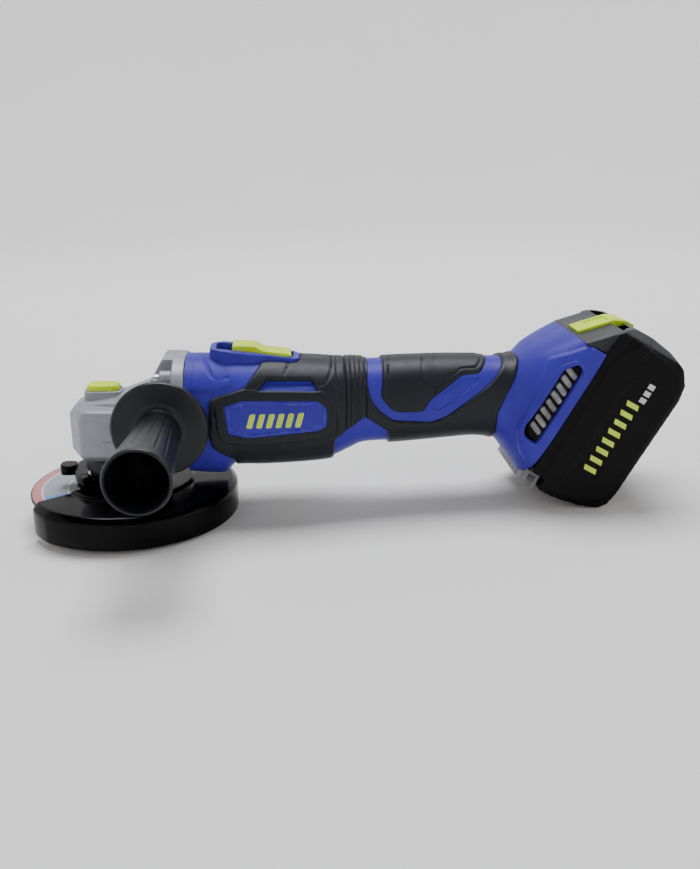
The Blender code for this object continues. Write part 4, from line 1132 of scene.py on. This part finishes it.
def disc():
    """The abrasive disc, with rings of plain paper printed in sectors."""
    outer = DISC_RADIUS
    bands = ((11.15, "steel"), (15.2, "label_grey"), (36.0, "label_white"), (37.0, "label_grey"),
             (50.6, "label_white"), (51.5, "label_red"))
    radii = [inner for inner, _ in bands] + [outer - 0.9, outer - 0.3]
    profile = [(r, DISC_TOP) for r in radii] + [(outer, DISC_TOP - 0.3), (outer, DISC_LOW + 0.3)]
    profile += [(r, DISC_LOW) for r in radii[::-1]]
    steps = 180
    points, faces = revolve(profile, steps=steps)
    finishes = ["abrasive", "steel", "label_grey", "label_white", "label_red", "label_blue"]
    tags = []
    for i in range(steps):
        angle = 360 * i / steps
        row = [finish for _, finish in bands] + ["abrasive"] * (len(profile) - len(bands))
        row[-2] = "steel"
        if 200 < angle < 250:
            row[3] = "label_blue"
        if not 120 < angle < 300:
            row[5] = "label_grey"
        tags += [finishes.index(finish) for finish in row]
    stands_for(make_object("cutting_disc", points, faces, finishes, tags, 30), "spindle", "abrasive_disc")


def disc_clamp():
    low, high = DISC_LOW - 0.3, DISC_TOP + 0.3
    profile = ((7.1, 1.2), (12.0, 1.2), (12.6, 2.4), (18.2, 2.4), (18.2, low), (7.1, low))
    nut = turned("outer_nut", profile, "steel", radius=0.5)
    holes = []
    for i in range(4):
        x, y = on_circle(15.4, math.pi * (i / 2 + 0.25))
        holes.append(rod("spanner_hole", 2.0, (x, y, -1), (x, y, 5.2), steps=32))
    stands_for(carved(nut, *holes, sharp=35), "spindle", "clamping_nut")
    profile = ((7.1, 7.4), (10.8, 7.4), (10.8, high), (18.5, high), (18.5, 11.6), (17, 12.4), (7.1, 12.4))
    stands_for(turned("clamp_flange", profile, "zinc"), "spindle", "inner_flange")


COLLAR = 19.8
PIVOT = Vector(on_circle(28.6, math.radians(215)))


def guard():
    outer, sheet = GUARD_RADIUS, 1.5
    crown = GUARD_TOP - 1.1
    profile = (
        (COLLAR, GUARD_TOP), (36.5, GUARD_TOP), (38.5, crown), (60.2, crown), (outer, 9.2), (outer, -1.6),
        (outer, GUARD_RIM + 0.4), (outer - 1.2, GUARD_RIM), (outer - 2.6, GUARD_RIM + 0.5),
        (outer - 2.6, GUARD_RIM + 1.5), (outer - sheet, GUARD_RIM + 2.2), (outer - sheet, 9.4),
        (59.6, crown - sheet), (38.0, crown - sheet), (36.0, GUARD_TOP - sheet), (COLLAR, GUARD_TOP - sheet),
    )
    start, sweep = 217, 176

    def tapered(radius, _, angle):
        near = np.interp(math.degrees(angle) - start, (0, 2, 16), (0.955, 0.965, 1.0))
        return np.where(radius > 45, radius * near, radius)

    cover = turned("wheel_guard", profile, "gloss", steps=180, radius=1.1, arc=(start, sweep), shape=tapered)
    stands_for(cover, "guard", "guard")


def clamp_band():
    profile = ((COLLAR, 13.8), (22.6, 13.8), (23.0, 14.4), (23.0, 20.0), (22.6, 20.6), (COLLAR, 20.6))
    band = turned("clamp_band", profile, "gloss")
    direction = PIVOT.normalized()
    across = Vector((-direction.y, direction.x)) * 4.0
    corners = [tuple(direction * reach + across * side)
               for reach, side in ((21.5, -1), (32.4, -1), (32.4, 1), (21.5, 1))]
    lug = plan_prism("lug", corners, 13.9, 15.4, radius=2.0)
    pin = rod("lug_pin", 1.8, (*PIVOT, 14.5), (*PIVOT, 20.8))
    combine(band, "UNION", lug, pin)
    settle(band, lug, pin)
    stands_for(band, "guard", "guard_collar")


def clamp_lever():
    turns = [math.radians(225 - 76 * i / 32) for i in range(33)]
    outer, inner = ([on_circle(radius, turn) for turn in turns] for radius in (32.0, 25.2))
    arm = plan_prism("arm", outer + inner[::-1], 15.9, 21.0)
    tab = plan_prism("tab", [(x - 35.4, y - 1.0) for x, y in oval(4.9, 5.4, 2.6)], 17.0, 22.8)
    lever = melted("clamp_lever", [arm, tab], "gloss", 0.4, 5)
    carved(lever, rod("pivot_hole", 2.1, (*PIVOT, 5), (*PIVOT, 35)))
    stands_for(lever, "lever", "guard_lever")


# Switch and side handle

def switch():
    outline = smooth_corners(BEZEL, 3.0, 5)
    base = loft("bezel_base", [[(x, y, 79) for x, y in outline],
                               [(76 + (x - 76) * 0.99, y * 0.96, 95) for x, y in outline]], "blue")
    slope = ((45, 93.4), (58, 93.0), (76, 90.8), (101, 87.2), (106, 86.6), (106, 110), (45, 110))
    carved(base, side_prism("bezel_slope", slope, -40, 40))
    bezel = melted("slider_bezel", [base], "blue", 0.33, 6)
    opening = [(x + 76.4, y) for x, y in oval(22.2, 8.9, 8.0)]
    carved(bezel, body_solid("seat", 0.3, 3), plan_prism("opening", opening, 60, 110))
    stands_for(bezel, "housing", "switch_bezel")

    outline = ((63.6, 89.4), (63.6, 94.1), (65.2, 94.8), (76.8, 94.2), (80.8, 91.7), (95.6, 89.7),
               (97.3, 88.9), (97.3, 88.2), (96.4, 88.0))
    slider = side_prism("slider_cap", outline, -8.3, 8.3, "lime", 1.0)
    stem = block("stem", (72, -2.6, 83.6), (80, 2.6, 90))
    combine(slider, "UNION", stem)
    settle(slider, stem)
    bevelled(slider, 0.5)
    stands_for(slider, "switch", "switch_slider")


def side_handle():
    end = HANDLE_START - HANDLE_END
    profile = (
        (4.3, 0), (10.0, 0), (11.0, 6.6), (25.2, 7.0), (26.5, 8.4), (26.5, 10.6), (25.2, 12.2),
        (14.0, 12.8), (11.6, 15.0), (11.4, 20.0), (12.6, 36.0), (14.6, 62.0), (16.2, end - 6.0),
        (16.7, end - 1.4), (16.2, end), (15.2, end), (14.5, end - 1.4), (13.9, end - 8.0), (10.2, 40.0),
        (8.4, 26.0), (4.3, 26.0),
    )
    outline = smooth_corners(profile, 1.6, 5)
    dense = []
    for (r0, z0), (r1, z1) in zip(outline, outline[1:] + outline[:1]):
        count = max(1, int(math.hypot(r1 - r0, z1 - z0) / 1.6))
        dense += [(r0 + (r1 - r0) * k / count, z0 + (z1 - z0) * k / count) for k in range(count)]
    radii, heights = np.array(dense).T
    outer_wall = np.interp(heights, (17, 36, 62, end), (11.2, 12.4, 14.4, 16.4)) - 0.8
    outside = np.interp(heights, (20, 24, end - 11, end - 8), (0, 1, 1, 0)) * (radii > outer_wall)

    def fluted(radius, _, angle):
        wave = max(0.0, math.cos(angle * 18)) ** 4
        return radius - 0.4 * wave * outside

    points, faces = revolve(dense, (HANDLE_X, HANDLE_START, HANDLE_Z), (0, -1, 0), 288, shape=fluted)
    handle = clean(make_object("grip_handle", points, faces, "handle"))
    stands_for(handle, "handle", "side_handle")


# Battery

def paint_shoulder_sheen(shell):
    """Gives the pack's top and its sloping shoulders, between the sides, a lighter and more specular black:
    the lighter colour is painted sheen from the light above.
    """
    back = TILT.inverted()
    shell.data.materials.append(MATERIALS["painted_sheen_black"])
    for face in shell.data.polygons:
        place = back @ face.center / MM
        if place.z > 205 and abs(place.y) < PACK_HALF_WIDTH - 2.4:
            face.material_index = len(shell.data.materials) - 1


def printed(shell, low, high):
    """Adds the plain bars and squares printed on both sides of the pack where they lie on this shell."""
    marks = [("lime_print", ((t, 218.4), (t + 2.9, 217.4), (t + 2.9, 225.4), (t, 226.4)))
             for t in np.arange(152.0, 196.0, 6.2)]
    marks += [("grey_print", ((t, 223.4), (t + 3.0, 223.4), (t + 3.0, 227.4), (t, 227.4)))
              for t in np.arange(200.5, 211.0, 4.4)]
    bm = bmesh.new()
    bm.from_mesh(shell.data)
    outer = PACK_HALF_WIDTH + 0.04
    for finish, outline in marks:
        if not low < np.mean([s for _, s in outline]) < high:
            continue
        shell.data.materials.append(MATERIALS[finish])
        for side in (-1, 1):
            start = len(bm.faces)
            turned_outline = [(s, t) for t, s in outline]
            mark = tilted(side_prism("mark", turned_outline, side * (outer - 0.4), side * outer, finish))
            bm.from_mesh(mark.data)
            bpy.data.objects.remove(mark, do_unlink=True)
            bm.faces.ensure_lookup_table()
            for face in bm.faces[start:]:
                face.material_index = len(shell.data.materials) - 1
    bm.to_mesh(shell.data)
    bm.free()


LIP_START, LIP_END = Vector((179.6, 213.6)), Vector((196.8, 231.4))
LIP_ALONG = (LIP_END - LIP_START).normalized()
LIP_OUT = Vector((-LIP_ALONG.y, LIP_ALONG.x))


def pack_core():
    """The pack's middle, from its front lip over the sloping shoulders to its foot."""
    outline = (
        LIP_START, LIP_END, (202.5, 234.2), (214, 234.6), (227, 232.6), (237, 228.0), (243.0, 220.5),
        (245, 212), (245, 147), (243.6, 139.5), (239.7, 134.8), (228.6, 131.0), (212.5, 128.3),
        (202.3, 128.3), (202.3, 135.7), (193.0, 135.7), (193.0, 214.3),
    )
    half = PACK_HALF_WIDTH - 1.0
    core = tilted(side_prism("core", outline, -half, half, "black", 1.2))
    crown = half - 11.5
    section = ((-half, 100), (half, 100), (half, 229.0), (crown, 236.0), (-crown, 236.0), (-half, 229.0))
    envelope = tilted(front_prism("envelope", section, 150, 260, radius=3.0))
    trims = [foot_block("trim", (150, low, 200), (193, high, 260)) for low, high in ((-60, -33), (33, 60))]
    combine(core, "INTERSECT", envelope)
    combine(core, "DIFFERENCE", *trims)
    return settle(core, envelope, *trims)


def pack_plates():
    """The raised face on each side of the pack."""
    face = (
        (197.0, 203.0), (197.6, 214.0), (200.2, 222.0), (204.6, 227.2), (210.0, 228.9), (236.0, 226.0),
        (242.0, 220.5), (243.6, 214.0), (243.6, 148), (241.8, 140.6), (237.6, 136.4), (227.6, 132.8),
        (212.5, 130.2), (204.0, 130.2), (203.6, 136.6), (199.5, 137.4),
    )
    outline = smooth_corners(face, 4.5, 5)
    mean_s, mean_t = np.mean(outline, axis=0)
    insets = ((0.0, 33.0), (0.0, 35.6), (0.35, 36.4), (1.1, 36.85), (2.2, PACK_HALF_WIDTH))
    plates = []
    for side in (-1, 1):
        rings = [
            [(s + (mean_s - s) * inset / 22, side * y, t + (mean_t - t) * inset / 48) for s, t in outline]
            for inset, y in insets
        ]
        plates.append(tilted(loft("plate", rings, "black")))
    return plates


def pack_room():
    """The space inside the pack for the cells and their board."""
    inside = ((195.5, 138.2), (204.8, 138.2), (204.8, 130.8), (213, 131.2), (228, 133.8), (238.2, 137.2),
              (241.0, 141), (242.3, 148), (242.3, 225), (239.4, 231), (234, 233.3), (195.5, 233.3))
    hollow = tilted(side_prism("room", inside, -34, 34))
    width = ((-33.9, 100), (33.9, 100), (33.9, 228.6), (23.6, 233.3), (-23.6, 233.3), (-33.9, 228.6))
    limit = tilted(front_prism("room_limit", width, 150, 260))
    combine(hollow, "INTERSECT", limit)
    return settle(hollow, limit)


def battery():
    case = melted("pack", [pack_core(), *pack_plates()], "black", 0.6, 5)
    rails = [foot_block("rail_neck", (186.5, -20, 140), (194.5, 20, 215)),
             foot_block("rail_flange", (181.4, -24, 148), (186.7, 24, 215))]
    slots = [foot_block("terminal_slot", (178, y - 1.5, 130), (187.5, y + 1.5, 168)) for y in (-10, 10)]
    heel = LIP_START + LIP_ALONG * 3.0
    pocket = (heel + LIP_OUT * 9, heel - LIP_OUT * 5.9, LIP_END - LIP_OUT * 6.7, (203.5, 229.6),
              (211.9, 229.6), (211.9, 250))
    cuts = [pack_room(), *slots, tilted(side_prism("button_pocket", pocket, -9.9, 9.9))]
    combine(case, "UNION", *rails)
    combine(case, "DIFFERENCE", *cuts)
    settle(case, *rails, *cuts)
    for name, node, low, high in (("battery_top_shell", "battery_case_upper", 150, 212.88),
                                  ("battery_base_shell", "battery_case_lower", 213.12, 260)):
        shell = part_of(name, case, foot_block("span", (low, -60, 100), (high, 60, 260)))
        paint_shoulder_sheen(shell)
        printed(shell, low, high)
        stands_for(shell, "battery", node)
    bpy.data.objects.remove(case, do_unlink=True)


def release_button():
    heel = LIP_START + LIP_ALONG * 3.4
    outline = (heel - LIP_OUT * 2.6, heel + LIP_OUT * 1.4, LIP_END + LIP_OUT * 1.4, (202.5, 235.6),
               (208.5, 235.7), (208.5, 233.4), (203.5, 233.2), LIP_END - LIP_OUT * 3)
    button = tilted(side_prism("release_button", outline, -9.5, 9.5, "lime", 0.8))
    low, high = LIP_START + LIP_ALONG * 11.0, LIP_END - LIP_ALONG * 1.5
    hollow = (low + LIP_OUT * 0.5, high + LIP_OUT * 0.5, high + LIP_OUT * 4, low + LIP_OUT * 4)
    carved(button, tilted(side_prism("button_dip", hollow, -6.6, 6.6)))
    bevelled(button, 0.5)
    stands_for(button, "latch", "battery_button")


def foot_bracket():
    bracket = foot_block("foot_latch_bracket", (193.0, -30, 125.6), (201.8, 30, 135.2), "bracket")
    carved(bracket, foot_block("bracket_hollow", (195, -40, 120), (199.8, 40, 133.2)))
    bevelled(bracket, 0.7)
    stands_for(bracket, "housing", "foot_bracket")


# Finishes of the CAD pieces that stay as they are

CARRIED = {
    "steel": ("spindle", "spindle_bearing_upper", "spindle_bearing_lower", "rotor_bearing_front",
              "rotor_bearing_rear", "rotor_shaft", "pinion", "crown_gear", "lock_pin", "lock_spring"),
    "laminations": ("rotor_core", "stator_core"),
    "copper": ("stator_windings",),
    "zinc": ("bearing_plate", "switch_rod", "handle_stud"),
    "black": ("air_baffle", "cooling_fan", "microswitch", "terminal_block"),
    "board": ("sensor_board", "control_board", "battery_board"),
    "wrap": tuple(f"cell_pair_{i}" for i in range(1, 6)),
}


def finish_carried_nodes():
    for finish, nodes in CARRIED.items():
        for node in nodes:
            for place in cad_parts[node].material_slots:
                place.material = MATERIALS[finish]


# Camera, floor and light

def camera():
    """The photograph's view: from ahead of the handle and above, turned slightly towards the battery."""
    down_angle, turn, roll = math.radians(18.33), math.radians(4.06), math.radians(0.38)
    right = Vector((math.cos(turn), -math.sin(turn), 0))
    level = math.cos(down_angle)
    forward = Vector((math.sin(turn) * level, math.cos(turn) * level, -math.sin(down_angle)))
    up = right.cross(forward)
    right, up = (right * math.cos(roll) + up * math.sin(roll), up * math.cos(roll) - right * math.sin(roll))
    data = bpy.data.cameras.new("camera")
    data.sensor_width = 36
    data.lens = 37.28
    data.clip_start, data.clip_end = 0.01, 100
    obj = link("camera", data)
    facing = Matrix((right, up, -forward)).transposed().to_4x4()
    obj.matrix_world = Matrix.Translation((0.0955, -0.5133, 0.2083)) @ facing
    bpy.context.scene.camera = obj


def floor():
    """A pale table top under the guard's rim and the battery, with a wall curving up all round."""
    rim = Vector((span("guard", 0)[1], 0, GUARD_RIM)) * MM
    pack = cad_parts["battery_case_lower"].data
    slope = min((vertex.co.z - rim.z) / (vertex.co.x - rim.x) for vertex in pack.vertices)
    turns = [math.pi / 2 * i / 12 for i in range(13)]
    profile = [(1.6 + 0.7 * math.sin(turn), 0.7 * (1 - math.cos(turn))) for turn in turns]
    profile.append((2.3, 2.6))
    steps = 96
    points, faces = [(0, 0, 0)], []
    for radius, height in profile:
        points += [(*on_circle(radius, 2 * math.pi * i / steps), height) for i in range(steps)]
    for i in range(steps):
        k = (i + 1) % steps
        faces.append([0, 1 + i, 1 + k])
        for row in range(len(profile) - 1):
            a = 1 + row * steps
            faces.append([a + i, a + steps + i, a + steps + k, a + k])
    mesh = bpy.data.meshes.new("floor")
    mesh.from_pydata(points, [], faces)
    mesh.shade_smooth()
    paper = Finish("floor_paper")
    tone = paper.blend(paper.noise(3.0), (0.80, 0.78, 0.765), (0.84, 0.82, 0.805))
    paper.set(Base_Color=tone, Roughness=0.9, Specular_IOR_Level=0.1)
    mesh.materials.append(paper.material)
    lean = Matrix.Rotation(-math.atan(slope), 4, "Y")
    obj = link("floor", mesh)
    obj.matrix_world = Matrix.Translation(rim) @ lean @ Matrix.Translation((0, 0, -0.0001))


def area_light(name, place, aim, size, power, colour=(1, 1, 1)):
    data = bpy.data.lights.new(name, "AREA")
    data.shape = "RECTANGLE"
    data.size, data.size_y = size
    data.energy = power
    data.color = colour
    obj = link(name, data)
    obj.location = place
    obj.rotation_mode = "QUATERNION"
    obj.rotation_quaternion = (Vector(aim) - Vector(place)).to_track_quat("-Z", "Y")


def lights():
    area_light("overhead", (0.05, 0.75, 2.4), (0.12, 0.05, 0.05), (1.9, 1.3), 90, (0.92, 0.96, 1.0))
    area_light("front_left", (-1.0, -1.2, 1.1), (0.1, 0, 0.05), (0.6, 0.6), 1.2)
    area_light("right", (1.4, -0.5, 0.9), (0.15, 0, 0.05), (0.5, 0.7), 0.8)


for make in (camera, housing, overmoulds, side_panels, grilles, gear_head, head_screws, lock_button, disc,
             disc_clamp, guard, clamp_band, clamp_lever, switch, side_handle, battery, release_button,
             foot_bracket, finish_carried_nodes, floor, lights):
    make()
